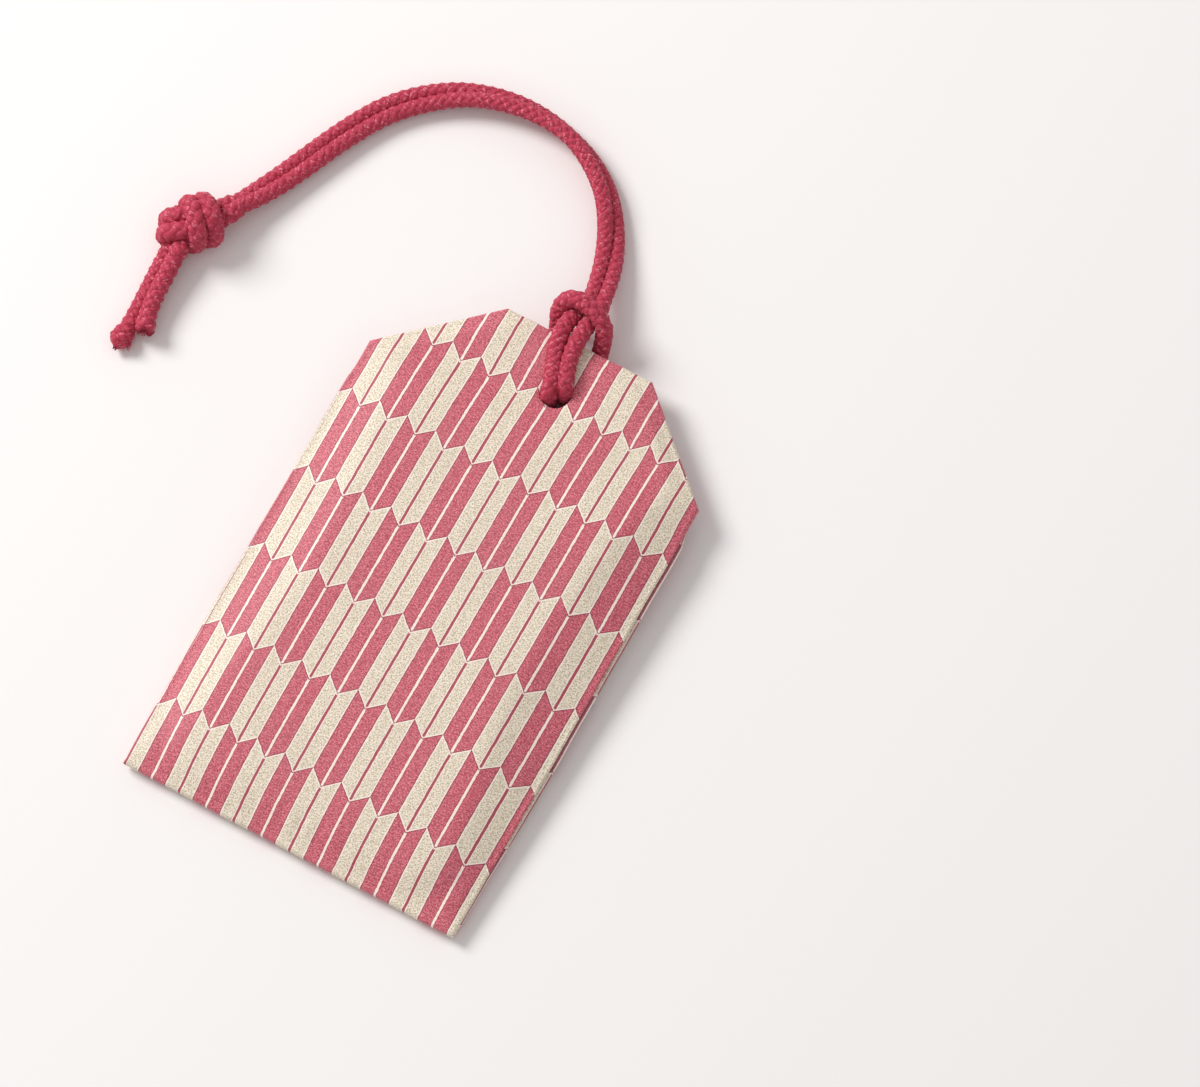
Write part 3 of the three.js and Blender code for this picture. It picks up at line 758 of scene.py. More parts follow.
def cover_shape(pouch):
    """The printed cloth's outer side: the swollen face, then the fold, a superellipse carried round
    the outline whose power goes from 3 to 5 where the edge is lifted, then six flaps behind the
    card that draw in at their ends. The map holds the print's place in mm for each corner of the
    faces. On the lifted sides it is that of the cloth that comes round from the back, upside
    down."""
    fold, middle = pouch.fold_radius / MM, pouch.fold_middle / MM
    columns, low_rows, high_rows = 124, 156, 30
    corners = pouch_corners(pouch, fold)
    grid = face_rows(corners, columns, low_rows, high_rows)
    rows = grid.shape[0]
    flat, quads = face_mesh(pouch, grid, 6)
    lift = face_height(pouch, flat[:, 0], flat[:, 1])
    coarse, drift = blown_cloth(pouch)
    half = np.interp(flat[:, 1], corners[1:4, 1], corners[1:4, 0])
    at_column = (flat[:, 0] / half + 1) / 2 * (coarse.shape[1] - 1)
    at_row = np.interp(flat[:, 1], coarse[:, 0, 1], np.arange(len(coarse)))
    lift = lift + spread(drift, at_row, at_column, len(coarse), coarse.shape[1])
    from_hole = np.linalg.norm(flat - hole_centre(pouch), axis=1) - pouch.hole_diameter / MM / 2
    lift = lift - HOLE_DIP * np.exp(-from_hole / HOLE_DIP_REACH)
    points = lifted(flat, middle + fold + lift)
    uv = print_place(flat[:, 0], flat[:, 1])

    edge_steps = [columns, low_rows, high_rows, columns, high_rows, low_rows]
    edge_of = np.repeat(np.arange(6), edge_steps)
    share = np.concatenate([np.arange(n) / n for n in edge_steps])[:, None]
    width = columns + 1
    loop = np.concatenate([
        np.arange(columns), np.arange(rows - 1) * width + columns,
        (rows - 1) * width + np.arange(columns, 0, -1), np.arange(rows - 1, 0, -1) * width])
    raised = edge_height(pouch, flat[loop, 1])
    power = 3 + 2 * raised / (pouch.side_lift / MM)
    level = np.array(FOLD_LEVELS)[:, None]
    insets = fold * (1 - (1 - np.abs(level) ** power) ** (1 / power))
    heights = middle - fold + (2 * fold + raised) * (1 + level) / 2
    on_side = (edge_of == 1) | (edge_of == 5)
    seam = np.exp(-((level - SEAM_LEVEL) / SEAM_WIDTH) ** 2) * on_side * side_span(flat[loop, 1])
    insets = insets + pouch.seam_depth / MM * seam

    outline = pouch_corners(pouch, 0)
    inwards = pouch_corners(pouch, 1) - outline

    def ring(inset, along, edges):
        first = outline[edges] + inwards[edges] * inset[:, None]
        last = outline[(edges + 1) % 6] + inwards[(edges + 1) % 6] * inset[:, None]
        return first + (last - first) * along

    travel = unit(np.roll(outline, -1, axis=0) - outline)
    outwards = np.stack([travel[:, 1], -travel[:, 0]], axis=1)
    away = np.where(share == 0, outwards[edge_of] + outwards[(edge_of - 1) % 6], outwards[edge_of])
    fall = np.diff(heights, axis=0, prepend=middle + fold + raised[None])
    arc = np.cumsum(np.hypot(np.diff(insets, axis=0, prepend=fold), fall), axis=0)
    wander = 0.03 * np.sin(np.arange(len(loop)) * 0.21) * np.sin(np.arange(len(loop)) * 0.043)
    strips, maps = [], []
    for inset, height, gone in zip(insets, heights, arc):
        bulge = wander * np.sin(math.pi * gone / arc[-1])
        edge = ring(inset, share, edge_of) + away * bulge[:, None]
        strips.append(lifted(edge, height))
        slide = np.sum((edge - flat[loop]) * travel[edge_of], axis=1, keepdims=True)
        maps.append(uv[loop] + outwards[edge_of] * gone[:, None] + travel[edge_of] * slide)
    first = len(points)
    count = len(loop)
    index = np.concatenate([loop[None], first + np.arange(len(strips) * count).reshape(-1, count)])
    folds = row_faces(index, closed=True)[:, OTHER_SIDE]
    points = np.concatenate([points, *strips])
    uv = np.concatenate([uv, *maps])
    last = index[-1]

    flaps = []
    depth = np.linspace(fold, pouch.flap / MM, 7)[1:]
    starts = np.concatenate([[0], np.cumsum(edge_steps)])
    for e in range(6):
        row = np.concatenate([last[starts[e]:starts[e + 1]], last[[starts[e + 1] % count]]])
        along = np.linspace(0, 1, len(row))
        rows_here = [row]
        for inset in depth:
            at = pouch_corners(pouch, inset)
            span = np.linalg.norm(at[(e + 1) % 6] - at[e])
            draw = 0.12 + pouch.notch / MM / 2 * (inset - fold) / (depth[-1] - fold)
            inner = draw / span + along * (1 - 2 * draw / span)
            flat_row = at[e] + (at[(e + 1) % 6] - at[e]) * inner[:, None]
            rows_here.append(len(points) + np.arange(len(row)))
            points = np.concatenate([points, lifted(flat_row, middle - fold)])
            uv = np.concatenate([uv, uv[row] + outwards[e] * (inset - fold)])
        flaps.append(row_faces(np.stack(rows_here))[:, OTHER_SIDE])
    faces = np.concatenate([quads, folds, *flaps])
    uv = uv[faces]
    at = points[faces]
    below = (level < SEAM_LEVEL + 0.01) & on_side
    wall = np.zeros(len(faces), dtype=bool)
    wall[len(quads) + len(loop):len(quads) + len(folds)] = below[:-1].reshape(-1)
    wall &= at[..., 1].mean(axis=1) < SIDE_TOP
    uv[wall] = back_place(at[wall])
    points, faces = used_only(flared(pouch, points), [faces])
    return points, faces, uv.reshape(-1, 2)


def back_place(at):
    """Where on the print a place of a side wall lies: the back's cloth is turned round the lower
    edge, so its print runs the other way along, and comes up the side with a quill on it."""
    across = SIDE_QUILL + SIDE_GROWTH * (at[..., 2] - SIDE_QUILL_HEIGHT)
    return np.stack([np.sign(at[..., 0]) * across, BACK_TURN - at[..., 1]], axis=-1)


def backing_shape(pouch, lining):
    """The back's upper side: the outline drawn in by its inset, flat, with the punched hole."""
    grid = face_rows(pouch_corners(pouch, lining.backing_inset / MM), 60, 84, 18)
    flat, quads = face_mesh(pouch, grid, 4)
    return used_only(lifted(flat, lining.backing / MM), [quads],
                     np.stack([flat[:, 0] - 0.25, BACK_TURN - flat[:, 1]], axis=1))


def packet_height(share, rise):
    """rise * (1 - share^4), share being 0 in the middle and 1 at the seal."""
    return rise * (1 - share ** 4)


def packet_rings(lining, margin, shares, steps=180):
    """Rings of a superellipse of power 6, one for each share of the packet's size."""
    turn = full_turn(steps)
    reach = lambda c: np.sign(c) * np.abs(c) ** (1 / 3)
    x = (lining.packet_width / MM / 2 + margin) * reach(np.cos(turn))
    y = (lining.packet_length / MM / 2 + margin) * reach(np.sin(turn))
    return shares[:, None, None] * np.stack([x, y], axis=-1)[None] + [0, PACKET_MIDDLE]


def put_rings(name, upper, lower):
    """A closed body whose rings go from its top's middle outwards and back to its bottom's middle;
    each end is closed with a fan round its ring's mean."""
    rings = np.concatenate([upper, lower])
    count, steps = rings.shape[:2]
    ends = np.stack([rings[0].mean(axis=0), rings[-1].mean(axis=0)])
    points = np.concatenate([rings.reshape(-1, 3), ends])
    here = np.arange(steps)
    then = (here + 1) % steps
    quads = grid_faces(count, steps, closed=True)[:, OTHER_SIDE]
    top = np.stack([np.full(steps, count * steps), here, then], axis=-1)
    low = (count - 1) * steps
    bottom = np.stack([np.full(steps, count * steps + 1), low + then, low + here], axis=-1)
    return put_mesh(name, lay_in_frame(points), [quads, np.concatenate([top, bottom])])


# ---------------------------------------------------------------- cord shapes

# The hitch, from the end of its left strand through the hole, behind, over and back to its right
HITCH_ROUTE = [
    [-1.8, 67.25, 3.05], [-2, 65.6, 3.6], [-2.2, 64, 4.2], [-2.2, 62.4, 4.6], [-1.8, 60.6, 4.6],
    [-1.1, 58.9, 4.55], [-0.5, 57.35, 4.45], [-0.2, 56.28, 4.05], [-0.13, 55.85, 3.3],
    [-0.15, 55.85, 2.3], [-0.2, 56.05, 1.35], [-0.5, 57, 0.85], [-1.2, 58.8, 0.8],
    [-2.3, 60.8, 0.8], [-3.15, 62.6, 0.95], [-3.6, 63.9, 1.8], [-3.85, 64.7, 3.2],
    [-3.55, 65.6, 4.6], [-2.7, 66.1, 5.35], [-1.8, 66.15, 5.55], [-0.8, 66, 5.55],
    [0.15, 65.75, 5.4], [1.05, 65.4, 4.9], [1.6, 64.9, 4.1], [1.8, 64.25, 3.1], [1.9, 63.4, 1.9],
    [2, 62.4, 1.05], [1.95, 60.8, 0.8], [1.8, 59, 0.78], [1.5, 57.9, 0.84], [1.28, 57.2, 1.35],
    [1.17, 57.02, 2.3], [1.15, 57.06, 3.5], [1.08, 57.38, 4.25], [0.78, 58.1, 4.6],
    [0.28, 59.5, 4.65], [-0.08, 61, 4.62], [-0.2, 62.4, 4.6], [-0.25, 64, 4.2], [-0.25, 65.6, 3.6],
    [-0.22, 67.5, 3.05],
]
# The doubled run from the hitch to the knot: the middle of the pair, and its roll in degrees
RUN_ROUTE = [
    [-1, 67.7, 2.95, 0], [-1.51, 69.97, 2.25, 6], [-2.17, 72.12, 1.76, 14], [-3.19, 74.5, 1.52, 28],
    [-4.46, 76.69, 1.52, 41], [-6.15, 78.86, 1.6, 52], [-8.11, 80.54, 1.65, 60],
    [-10.28, 81.85, 1.69, 68], [-12.64, 82.8, 1.71, 76], [-15.22, 83.36, 1.69, 68],
    [-17.9, 83.53, 1.62, 57], [-20.47, 83.31, 1.54, 47], [-23.04, 82.71, 1.45, 38],
    [-25.51, 81.73, 1.34, 27], [-27.94, 80.22, 1.17, 13], [-30.19, 78.29, 1.08, 5],
    [-32.16, 75.97, 1.06, 3], [-33.84, 73.11, 1.08, 5], [-35.32, 70.06, 1.12, 9],
    [-36.7, 66.87, 1.15, 10], [-38.07, 63.8, 1.26, 17], [-39.29, 61.35, 1.52, 30],
    [-40.35, 59.35, 1.95, 45],
]
KNOT_LEFT_ROUTE = [
    [-40.02, 58.62, 2.58], [-40.87, 57.19, 2.5], [-41.73, 56.15, 2.6], [-42.61, 55.09, 2.95],
    [-43.44, 53.95, 3.35], [-44.31, 53.25, 3.35], [-45.09, 52.91, 2.9], [-45.45, 52.71, 2.1],
    [-45.31, 52.7, 1.3], [-44.63, 52.88, 0.85], [-43.65, 53.17, 0.78], [-42.75, 53.42, 1],
    [-42.03, 53.52, 1.9], [-41.83, 53.71, 3.1], [-42.02, 54.18, 4.15], [-42.59, 54.94, 4.65],
    [-43.41, 55.78, 4.65], [-44.19, 56.42, 4.1], [-44.75, 56.51, 3.1], [-44.75, 55.98, 2.25],
    [-44.58, 55.01, 2], [-44.44, 53.67, 1.85], [-44.42, 52.78, 1.62], [-44.44, 52.1, 1.35],
    [-44.44, 51.47, 1.12],
]
KNOT_RIGHT_ROUTE = [
    [-41.16, 59.24, 1.32], [-41.98, 57.97, 1.8], [-42.84, 56.97, 2.5], [-43.76, 56, 3.1],
    [-44.55, 55.23, 3.4], [-45.27, 54.72, 3.3], [-45.89, 54.4, 2.6], [-46.05, 54.15, 1.7],
    [-45.73, 54.13, 1], [-44.77, 54.19, 0.78], [-43.59, 54.37, 0.76], [-42.33, 54.64, 0.78],
    [-41.31, 54.81, 1.1], [-40.72, 54.99, 2.1], [-40.79, 55.42, 3.3], [-41.32, 56.08, 4.3],
    [-42.15, 56.9, 4.5], [-43.1, 57.43, 3.9], [-43.73, 57.43, 2.9], [-43.73, 56.9, 2.15],
    [-43.63, 55.72, 1.95], [-43.51, 54.39, 1.95], [-43.37, 53.36, 2.03], [-43.27, 52.44, 2.2],
    [-43.18, 51.61, 2.38],
]
LEFT_TAIL_ROUTE = [
    [-43.17, 51.2, 2.32], [-43.1, 49.2, 2.05], [-43, 47, 1.88], [-42.82, 45.15, 1.78],
    [-42.48, 43.6, 1.72], [-42.05, 42.4, 1.7],
]
RIGHT_TAIL_ROUTE = [
    [-44.47, 51.05, 1.02], [-44.4, 49, 0.88], [-44.25, 46.8, 0.85], [-44.1, 44.8, 0.85],
    [-44, 43.05, 0.88], [-44, 41.4, 0.95], [-44.02, 39.5, 1.05],
]


def run_strand(cord, side):
    """One strand of the doubled run: the middle moved across its travel by half the spacing times
    the cosine of the roll, and up by half the spacing times its sine."""
    route = np.array(RUN_ROUTE)
    middle, roll = route[:, :3], np.radians(route[:, 3])
    travel = unit(np.concatenate([middle[1:2] - middle[:1], middle[2:] - middle[:-2],
                                  middle[-1:] - middle[-2:-1]])[:, :2])
    half = side * cord.pair_spacing / MM / 2
    return middle + np.stack([-travel[:, 1] * half * np.cos(roll),
                              travel[:, 0] * half * np.cos(roll), half * np.sin(roll)], axis=1)


def smooth_route(points, steps=40):
    """A centripetal Catmull-Rom curve through the points: on each stretch the point is blended by
    straight lines between its four neighbours, with knots spaced by the root of their distance.
    Returned are the points and the number of each given point among them."""
    points = np.asarray(points, dtype=float)
    ends = [2 * points[0] - points[1]], [2 * points[-1] - points[-2]]
    p = np.concatenate([ends[0], points, ends[1]])
    knots = np.concatenate([[0], np.cumsum(np.linalg.norm(np.diff(p, axis=0), axis=1) ** 0.5)])
    p0, p1, p2, p3 = (p[i:len(p) - 3 + i, None] for i in range(4))
    k0, k1, k2, k3 = (knots[i:len(p) - 3 + i, None, None] for i in range(4))
    t = k1 + (k2 - k1) * (np.arange(steps) / steps)[None, :, None]
    a1 = ((k1 - t) * p0 + (t - k0) * p1) / (k1 - k0)
    a2 = ((k2 - t) * p1 + (t - k1) * p2) / (k2 - k1)
    a3 = ((k3 - t) * p2 + (t - k2) * p3) / (k3 - k2)
    b1 = ((k2 - t) * a1 + (t - k0) * a2) / (k2 - k0)
    b2 = ((k3 - t) * a2 + (t - k1) * a3) / (k3 - k1)
    curve = ((k2 - t) * b1 + (t - k1) * b2) / (k2 - k1)
    return np.concatenate([curve.reshape(-1, 3), points[-1:]]), np.arange(len(points)) * steps


class CordLine:
    """The whole cord's middle line, from the right tail's tip through the knot, the hitch and the
    knot again to the left tail's tip, at even steps, with a frame that doesn't twist. Each step's
    frame is turned from a fixed reference by the sum of the small turns before it."""

    def __init__(self, cord):
        left, right = run_strand(cord, 1), run_strand(cord, -1)
        parts = {
            "right_tail": np.array(RIGHT_TAIL_ROUTE)[::-1],
            "knot_left": np.array(KNOT_LEFT_ROUTE)[::-1],
            "left_run": left[::-1],
            "hitch": np.array(HITCH_ROUTE),
            "right_run": right,
            "knot_right": np.array(KNOT_RIGHT_ROUTE),
            "left_tail": np.array(LEFT_TAIL_ROUTE),
        }
        curve, given = smooth_route(np.concatenate(list(parts.values())))
        arc = np.concatenate([[0], np.cumsum(np.linalg.norm(np.diff(curve, axis=0), axis=1))])
        self.length = arc[-1]
        self.step = self.length / round(self.length / LINE_STEP)
        even = np.arange(0, round(self.length / self.step) + 1) * self.step
        line = np.stack([np.interp(even, arc, curve[:, i]) for i in range(3)], axis=1)
        beyond = np.arange(1, LINE_SPARE + 1)[:, None]
        self.line = np.concatenate([line[0] + (line[0] - line[1]) * beyond[::-1], line,
                                    line[-1] + (line[-1] - line[-2]) * beyond])
        self.origin = -LINE_SPARE * self.step
        last = np.cumsum([len(part) for part in parts.values()]) - 1
        cuts = (arc[given[last[:-1]]] + arc[given[last[:-1] + 1]]) / 2
        bounds = np.concatenate([[0], cuts, [self.length]])
        self.parts = {name: (bounds[i], bounds[i + 1]) for i, name in enumerate(parts)}

        ahead = unit(np.gradient(self.line, axis=0))
        side = unit(np.cross(ahead, FRAME_START))
        other = np.cross(ahead, side)
        a, b, s = ahead[:-1], ahead[1:], side[:-1]
        lean = np.sum(s * b, axis=1) / (1 + np.sum(a * b, axis=1))
        carried = s - lean[:, None] * (a + b)
        turn = np.arctan2(np.sum(carried * other[1:], axis=1), np.sum(carried * side[1:], axis=1))
        turn = np.concatenate([[0], np.cumsum(turn)])[:, None]
        self.first = np.cos(turn) * side + np.sin(turn) * other
        self.second = np.cross(ahead, self.first)

    def at(self, arc):
        """The line's point and the frame's two directions at any arc lengths."""
        place = (arc - self.origin) / self.step
        low = np.clip(place.astype(int), 0, len(self.line) - 2)
        share = np.clip(place - low, 0, 1)[..., None]
        read = lambda values: values[low] * (1 - share) + values[low + 1] * share
        return read(self.line), read(self.first), read(self.second)


def around_line(first, second, angle, radius):
    """Offsets of a radius from a line, at an angle between the two directions of its frame."""
    east, north = radius * np.cos(angle), radius * np.sin(angle)
    return east[..., None] * first + north[..., None] * second


def tubes(points, rise, u, v):
    """Closed tubes, one for each row of rings of points, with the depth and the map's place that
    each point carries."""
    count, rings, sides = points.shape[:3]
    firsts = np.arange(count)[:, None] * rings * sides
    quads = (grid_faces(rings, sides, closed=True)[None] + firsts[..., None]).reshape(-1, 4)
    caps = np.concatenate([firsts + np.arange(sides)[::-1],
                           firsts + (rings - 1) * sides + np.arange(sides)])
    rise, u, v = (np.broadcast_to(held, points.shape[:3]).reshape(-1) for held in (rise, u, v))
    return points.reshape(-1, 3), quads, caps, rise, np.stack([u, v], axis=1)


def braid_shape(cord, line, start, end, swell, sides=8):
    """A braid of 2 * bundles yarn bundles between two arc lengths, and the core they lie on.
    A bundle's middle winds as angle = phase +- 2 pi s / lay, and its distance from the cord's
    middle swings as r +- a cos(2 pi bundles s / lay), so that it goes over one crossing bundle and
    under the next. Its section is an ellipse, wide along the cord's surface and across its own
    travel. swell gives the share by which the cord is thicker at an arc length."""
    count = cord.bundles
    outer = cord.diameter / MM / 2
    wide, thick = cord.bundle_width / MM / 2, cord.bundle_height / MM / 2
    swing = thick * 0.95
    mean = outer - thick - swing
    lay = cord.lay / MM
    steps = max(int(round((end - start) / BUNDLE_STEP)), 2)
    s = np.linspace(start, end, steps + 1)[None, :, None]
    way = np.repeat([1.0, -1.0], count)[:, None, None]
    phase = np.tile(np.arange(count) * 2 * math.pi / count, 2)[:, None, None]
    around = full_turn(sides)[None, None]
    across, up = wide * np.cos(around), thick * np.sin(around)
    lean = math.atan(2 * math.pi * mean / lay)
    own = s - way * across * math.sin(lean)
    radius = mean + way * swing * np.cos(2 * math.pi * count * s / lay) + up
    radius = radius - 0.1 * (across / wide) ** 2 * thick
    angle = phase + way * 2 * math.pi * s / lay + across * math.cos(lean) / (mean + swing * 0.5)
    middle, first, second = line.at(own + 0 * angle)
    points = middle + around_line(first, second, angle, radius * swell(own))
    # The depth that the material turns into painted shade between the bundles
    rise = (radius - (mean - swing)) / (2 * swing + thick)
    u = s / math.cos(lean) + phase * 3
    v = np.abs((around / math.pi) - 1) * wide * 2 + phase * 7 + way
    bundles = tubes(points, rise, u, v)

    turn = full_turn(CORE_SIDES)
    s = np.linspace(start, end, max(steps // 3, 2) + 1)[None, :, None]
    middle, first, second = line.at(s + 0 * turn)
    core = middle + around_line(first, second, turn, mean * 0.98 * swell(s))
    # The core carries a fixed depth of 0.4, so it takes part of the painted shade
    return [bundles, tubes(core, 0.4, s, turn)]


def loose_threads(line, arc, way, count, reach, seed, spread_out, begins=(0, 0, 0),
                  sways=(0, 0, 0)):
    """Filaments that stand out of a cut end: each starts inside the section, moved by begins, and
    leans away from the middle, and towards sways, by shares that grow as the square of its
    length."""
    rng = np.random.default_rng(seed)
    steps, sides = 7, 4
    share = np.linspace(0, 1, steps)[None, :]
    angle = rng.uniform(0, 2 * math.pi, (count, 1))
    start = rng.uniform(0.1, 0.62, (count, 1))
    length = rng.uniform(0.45, 1.0, (count, 1)) * reach
    lean = rng.normal(0, spread_out, (count, 1))
    curl = rng.normal(0, 0.5, (count, 1))
    middle, first, second = (v[0] for v in line.at(np.array([arc])))
    ahead = np.cross(first, second) * way
    along = -0.35 + (length + 0.35) * share
    out = start + lean * length * share ** 2
    aside = angle + curl * share ** 2
    centre = (middle + along[..., None] * ahead + around_line(first, second, aside, out)
              + np.array(begins) + np.array(sways) * (share ** 2)[..., None])
    turn = full_turn(sides)
    thin = THREAD_RADIUS * (1 - 0.6 * share ** 2)[..., None]
    points = centre[:, :, None] + around_line(first, way * second, turn, thin)
    # The threads carry a depth of 0.8, so they take little of the painted shade
    return tubes(points, 0.8, along[..., None], angle[..., None] * 5)


def put_cord(name, shapes):
    """One mesh of several closed bodies, laid on the floor where they would go into it."""
    points, faces, rise, uv = [], {}, [], []
    first = 0
    for body, quads, caps, depth, place in shapes:
        for part in (quads, caps):
            faces.setdefault(part.shape[1], []).append(part + first)
        points.append(body)
        rise.append(depth)
        uv.append(place)
        first += len(body)
    points = np.concatenate(points)
    points[:, 2] = np.maximum(points[:, 2], 0.01 + 0.01 * np.clip(points[:, 2], -1, 0))
    points[:, 1] -= POUCH_MIDDLE
    return put_mesh(name, points * MM, [np.concatenate(f) for f in faces.values()],
                    np.concatenate(uv), {"rise": np.concatenate(rise)})


# ---------------------------------------------------------------- operators


class SACHET_OT_cover(bpy.types.Operator):
    """Make the printed front cover, swollen by the packet and folded round the card"""

    bl_idname = "sachet.cover"
    bl_label = "Printed cover"

    def execute(self, context):
        pouch = context.scene.sachet_pouch
        points, faces, uv = cover_shape(pouch)
        piece = put_mesh("printed_cover", lay_in_frame(points), faces, uv)
        thicken(piece, pouch.cloth)
        dress(piece, "printed_crepe", printed_crepe(pouch), "front_cover")
        return {"FINISHED"}


class SACHET_OT_backing(bpy.types.Operator):
    """Make the backing cloth, and give the stiffener card its finish"""

    bl_idname = "sachet.backing"
    bl_label = "Backing and card"

    def execute(self, context):
        # The cloth's finish is the one that the cover's step has made
        pouch, lining = context.scene.sachet_pouch, context.scene.sachet_lining
        points, faces, uv = backing_shape(pouch, lining)
        piece = put_mesh("backing_cloth", lay_in_frame(points), faces, uv)
        thicken(piece, lining.backing)
        dress(piece, "backing", bpy.data.materials["printed_crepe"], "back_cover")
        corners = pouch_corners(pouch, lining.backing_inset / MM)
        after = np.roll(corners, -1, axis=0)
        area = abs(np.sum(corners[:, 0] * after[:, 1] - corners[:, 1] * after[:, 0])) / 2
        area -= math.pi * (pouch.hole_diameter / MM / 2) ** 2
        size = corners.max(axis=0) - corners.min(axis=0)
        tuple(size * MM)
        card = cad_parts["stiffener_card"]
        card.data.materials.clear()
        card.data.materials.append(grey_card(lining))
        return {"FINISHED"}


class SACHET_OT_packet(bpy.types.Operator):
    """Make the scented packet: its two nonwoven skins and the crushed wood between them"""

    bl_idname = "sachet.packet"
    bl_label = "Scented packet"

    def execute(self, context):
        lining = context.scene.sachet_lining
        skin, seal = lining.skin / MM, lining.seal / MM
        material = nonwoven(lining)
        shares = np.linspace(0.05, 1, 40)
        inner, border = packet_rings(lining, 0, shares), packet_rings(lining, seal, np.ones(1))
        bumps = 0.03 * np.sin(inner[..., 0] * 2.1) * np.sin(inner[..., 1] * 1.7)
        heights = packet_height(shares, SKIN_RISE)[:, None] * (1 + bumps)
        top = np.concatenate([heights, np.zeros(border.shape[:2])]) + PACKET_FILL + skin
        rings = np.concatenate([inner, border])
        front = put_rings("packet_front_skin", lifted(rings, top), lifted(rings, top - skin)[::-1])
        dress(front, "nonwoven", material, "scent_packet_front")

        rings = packet_rings(lining, seal, np.linspace(0.05, 1, 24))
        under = PACKET_BOTTOM + 0.012 * np.sin(rings[..., 0] * 3.1) * np.sin(rings[..., 1] * 3.1)
        back = put_rings("packet_back_skin", lifted(rings, under + skin),
                         lifted(rings, under)[::-1])
        dress(back, "nonwoven", material, "scent_packet_back")

        shares = np.linspace(0.02, 1, 70)
        rings = packet_rings(lining, -1, shares, 260)
        grains = (np.sin(rings[..., 0] * 4.3 + np.sin(rings[..., 1] * 2.9))
                  * np.sin(rings[..., 1] * 3.7 + np.sin(rings[..., 0] * 3.3)))
        heights = PACKET_FILL + packet_height(shares, FILL_RISE)[:, None] * (1 + 0.05 * grains)
        filling = put_rings("crushed_wood_filling", lifted(rings, heights),
                            lifted(rings[::-4], PACKET_FILL)[1:])
        dress(filling, "scented_wood", crushed_wood(lining), "scent_filling")
        return {"FINISHED"}


class SACHET_OT_cord(bpy.types.Operator):
    """Braid the cord: its hitch through the hole, doubled run, overhand knot and both tails"""

    bl_idname = "sachet.cord"
    bl_label = "Braided cord"

    def execute(self, context):
        cord = context.scene.sachet_cord
        line = CordLine(cord)
        yarn = braided_yarn(cord)
        part = line.parts

        def thickness(s):
            """1 plus what each stretch adds, rising and falling as a smooth step at its ends; the
            long tail ends in a bulb, and the short one widens towards its cut."""
            size = 1 + 0 * s
            for name, swell, soft in (("hitch", cord.hitch_swell, 1.2),
                                      ("knot_left", cord.knot_swell, 0.8),
                                      ("knot_right", cord.knot_swell, 0.8),
                                      ("right_tail", cord.tail_swell, 0.8),
                                      ("left_tail", cord.tail_swell, 0.8)):
                first, last = part[name]
                inside = np.minimum(s - first, last - s) / soft + 0.5
                size = size + (swell - 1) * eased(inside)
            bulb = BULB * np.sin(math.pi * np.clip(1 - s / BULB_LENGTH, 0, 1) ** 0.8)
            tip = np.sqrt(np.clip(1 - (np.clip(1 - s, 0, 1) / 1.04) ** 2, 0.08, 1))
            cut = CUT_FLARE * np.clip(1 - (line.length - s) / CUT_LENGTH, 0, 1.2) ** 1.5
            return (size + bulb + cut) * tip

        frayed = {
            "right_tail": {"arc": 0.9, "way": -1, "count": 44, "reach": 1.15, "seed": 5,
                           "spread_out": 0.35, "begins": (0.55, 0.1, 0), "sways": (0.75, 0.3, 0)},
            "left_tail": {"arc": line.length - 0.05, "way": 1, "count": 40, "reach": 0.75,
                          "seed": 11, "spread_out": 0.5},
        }
        made = []
        for name, node, stretches in (
                ("hitch_braid", "cord_hitch", ["hitch"]),
                ("left_run_braid", "cord_run_left", ["left_run"]),
                ("right_run_braid", "cord_run_right", ["right_run"]),
                ("overhand_knot_braid", "cord_knot", ["knot_left", "knot_right"]),
                ("right_tail_braid", "cord_tail_right", ["right_tail"]),
                ("left_tail_braid", "cord_tail_left", ["left_tail"])):
            shapes = [shape for stretch in stretches
                      for shape in braid_shape(cord, line, *part[stretch], thickness)]
            shapes += [loose_threads(line, **frayed[end]) for end in stretches if end in frayed]
            made.append(dress(put_cord(name, shapes), "braided_cord", yarn, node))
        _, left, right, knot, long_tail, short_tail = made

        for piece, name, way, ends in ((left, "left_run", -1, [knot, long_tail, short_tail]),
                                       (right, "right_run", 1, [])):
            start, end = part[name]
            arcs = np.linspace(start, end, 60)[::way]
            path = line.at(arcs)[0]
            path[:, 1] -= POUCH_MIDDLE
            path *= MM
        return {"FINISHED"}


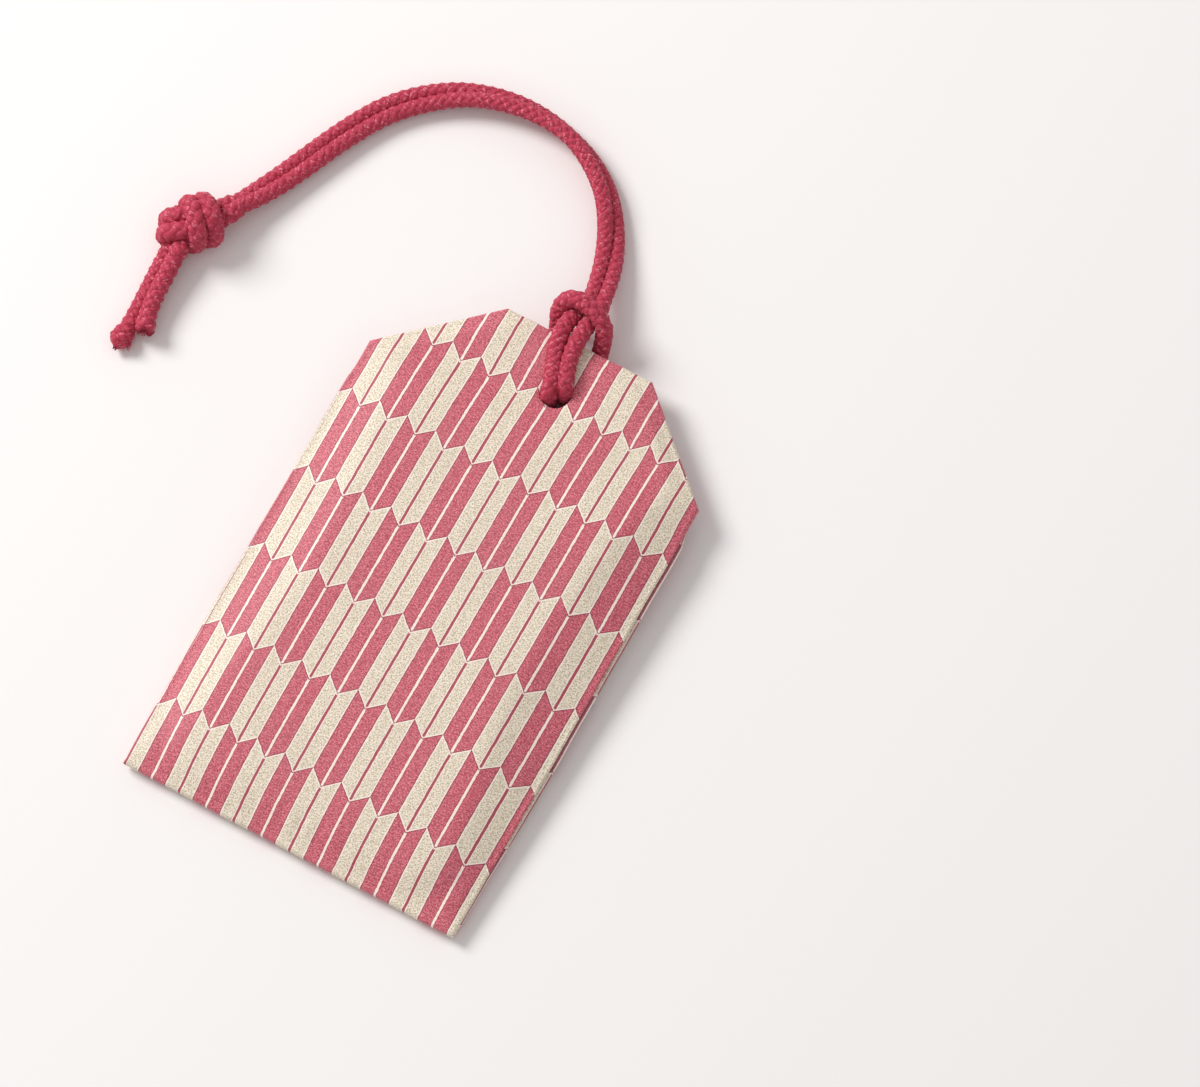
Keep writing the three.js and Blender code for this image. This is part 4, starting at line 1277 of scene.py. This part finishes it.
class SACHET_OT_stage(bpy.types.Operator):
    """Set the floor, the soft light from the upper left and the camera"""

    bl_idname = "sachet.stage"
    bl_label = "Floor, light and camera"

    def execute(self, context):
        stage = context.scene.sachet_stage
        scene = context.scene
        corners = np.array([[-1, -1, 0], [1, -1, 0], [1, 1, 0], [-1, 1, 0]]) * FLOOR_HALF
        floor = put_mesh("floor", corners, [np.array([[0, 1, 2, 3]])])
        paper = Finish("floor_paper", {"Roughness": 0.9, "Specular IOR Level": 0.2})
        paper.shader.inputs["Base Color"].default_value = (*stage.floor, 1)
        floor.data.materials.append(paper.material)

        world = bpy.data.worlds.new("studio")
        world.use_nodes = True
        sky = world.node_tree.nodes["Background"]
        sky.inputs["Color"].default_value = (1, 1, 1, 1)
        sky.inputs["Strength"].default_value = stage.sky
        scene.world = world

        lamp = bpy.data.lights.new("soft_lamp", "AREA")
        lamp.shape, lamp.size, lamp.energy = "DISK", LAMP_SIZE, stage.lamp
        light = bpy.data.objects.new("soft_lamp", lamp)
        towards = LAMP_SIDE.normalized()
        light.location = towards * LAMP_DISTANCE
        light.rotation_mode = "QUATERNION"
        light.rotation_quaternion = towards.to_track_quat("Z", "Y")
        scene.collection.objects.link(light)

        back = Vector((math.sin(CAMERA_TILT) * math.cos(CAMERA_TURN),
                       math.sin(CAMERA_TILT) * math.sin(CAMERA_TURN), math.cos(CAMERA_TILT)))
        right = Vector((-math.sin(CAMERA_ROLL), math.cos(CAMERA_ROLL), 0)).cross(back).normalized()
        up = back.cross(right)
        camera = bpy.data.cameras.new("camera")
        camera.lens, camera.sensor_width, camera.clip_start = stage.focal, 36, 0.01
        view = bpy.data.objects.new("camera", camera)
        turned = Matrix((right, up, back)).transposed().to_4x4()
        view.matrix_world = Matrix.Translation(CAMERA_TARGET + back * CAMERA_DISTANCE) @ turned
        scene.collection.objects.link(view)
        scene.camera = view
        scene.view_settings.view_transform = "Standard"
        return {"FINISHED"}


class SACHET_PT_panel(bpy.types.Panel):
    """The sachet's pieces and their settings"""

    bl_label = "Scent sachet"
    bl_idname = "SACHET_PT_panel"
    bl_space_type = "VIEW_3D"
    bl_region_type = "UI"
    bl_category = "Sachet"

    def draw(self, context):
        for operator, group in STEPS:
            box = self.layout.box()
            settings = getattr(context.scene, group)
            for key in settings.bl_rna.properties.keys():
                if key not in {"rna_type", "name"}:
                    box.prop(settings, key)
            box.operator(operator.bl_idname)


STEPS = [
    (SACHET_OT_cover, "sachet_pouch"),
    (SACHET_OT_backing, "sachet_lining"),
    (SACHET_OT_packet, "sachet_lining"),
    (SACHET_OT_cord, "sachet_cord"),
    (SACHET_OT_stage, "sachet_stage"),
]
SETTINGS = {
    "sachet_pouch": SachetPouchSettings,
    "sachet_lining": SachetLiningSettings,
    "sachet_cord": SachetCordSettings,
    "sachet_stage": SachetStageSettings,
}


def register():
    for group in SETTINGS.values():
        bpy.utils.register_class(group)
    for key, group in SETTINGS.items():
        setattr(bpy.types.Scene, key, bpy.props.PointerProperty(type=group))
    for operator, _ in STEPS:
        bpy.utils.register_class(operator)
    bpy.utils.register_class(SACHET_PT_panel)


def unregister():
    bpy.utils.unregister_class(SACHET_PT_panel)
    for operator, _ in reversed(STEPS):
        bpy.utils.unregister_class(operator)
    for key, group in reversed(SETTINGS.items()):
        delattr(bpy.types.Scene, key)
        bpy.utils.unregister_class(group)


def main():
    register()
    bpy.ops.sachet.cover()
    bpy.ops.sachet.backing()
    bpy.ops.sachet.packet()
    bpy.ops.sachet.cord()
    bpy.ops.sachet.stage()


if __name__ == "__main__":
    main()
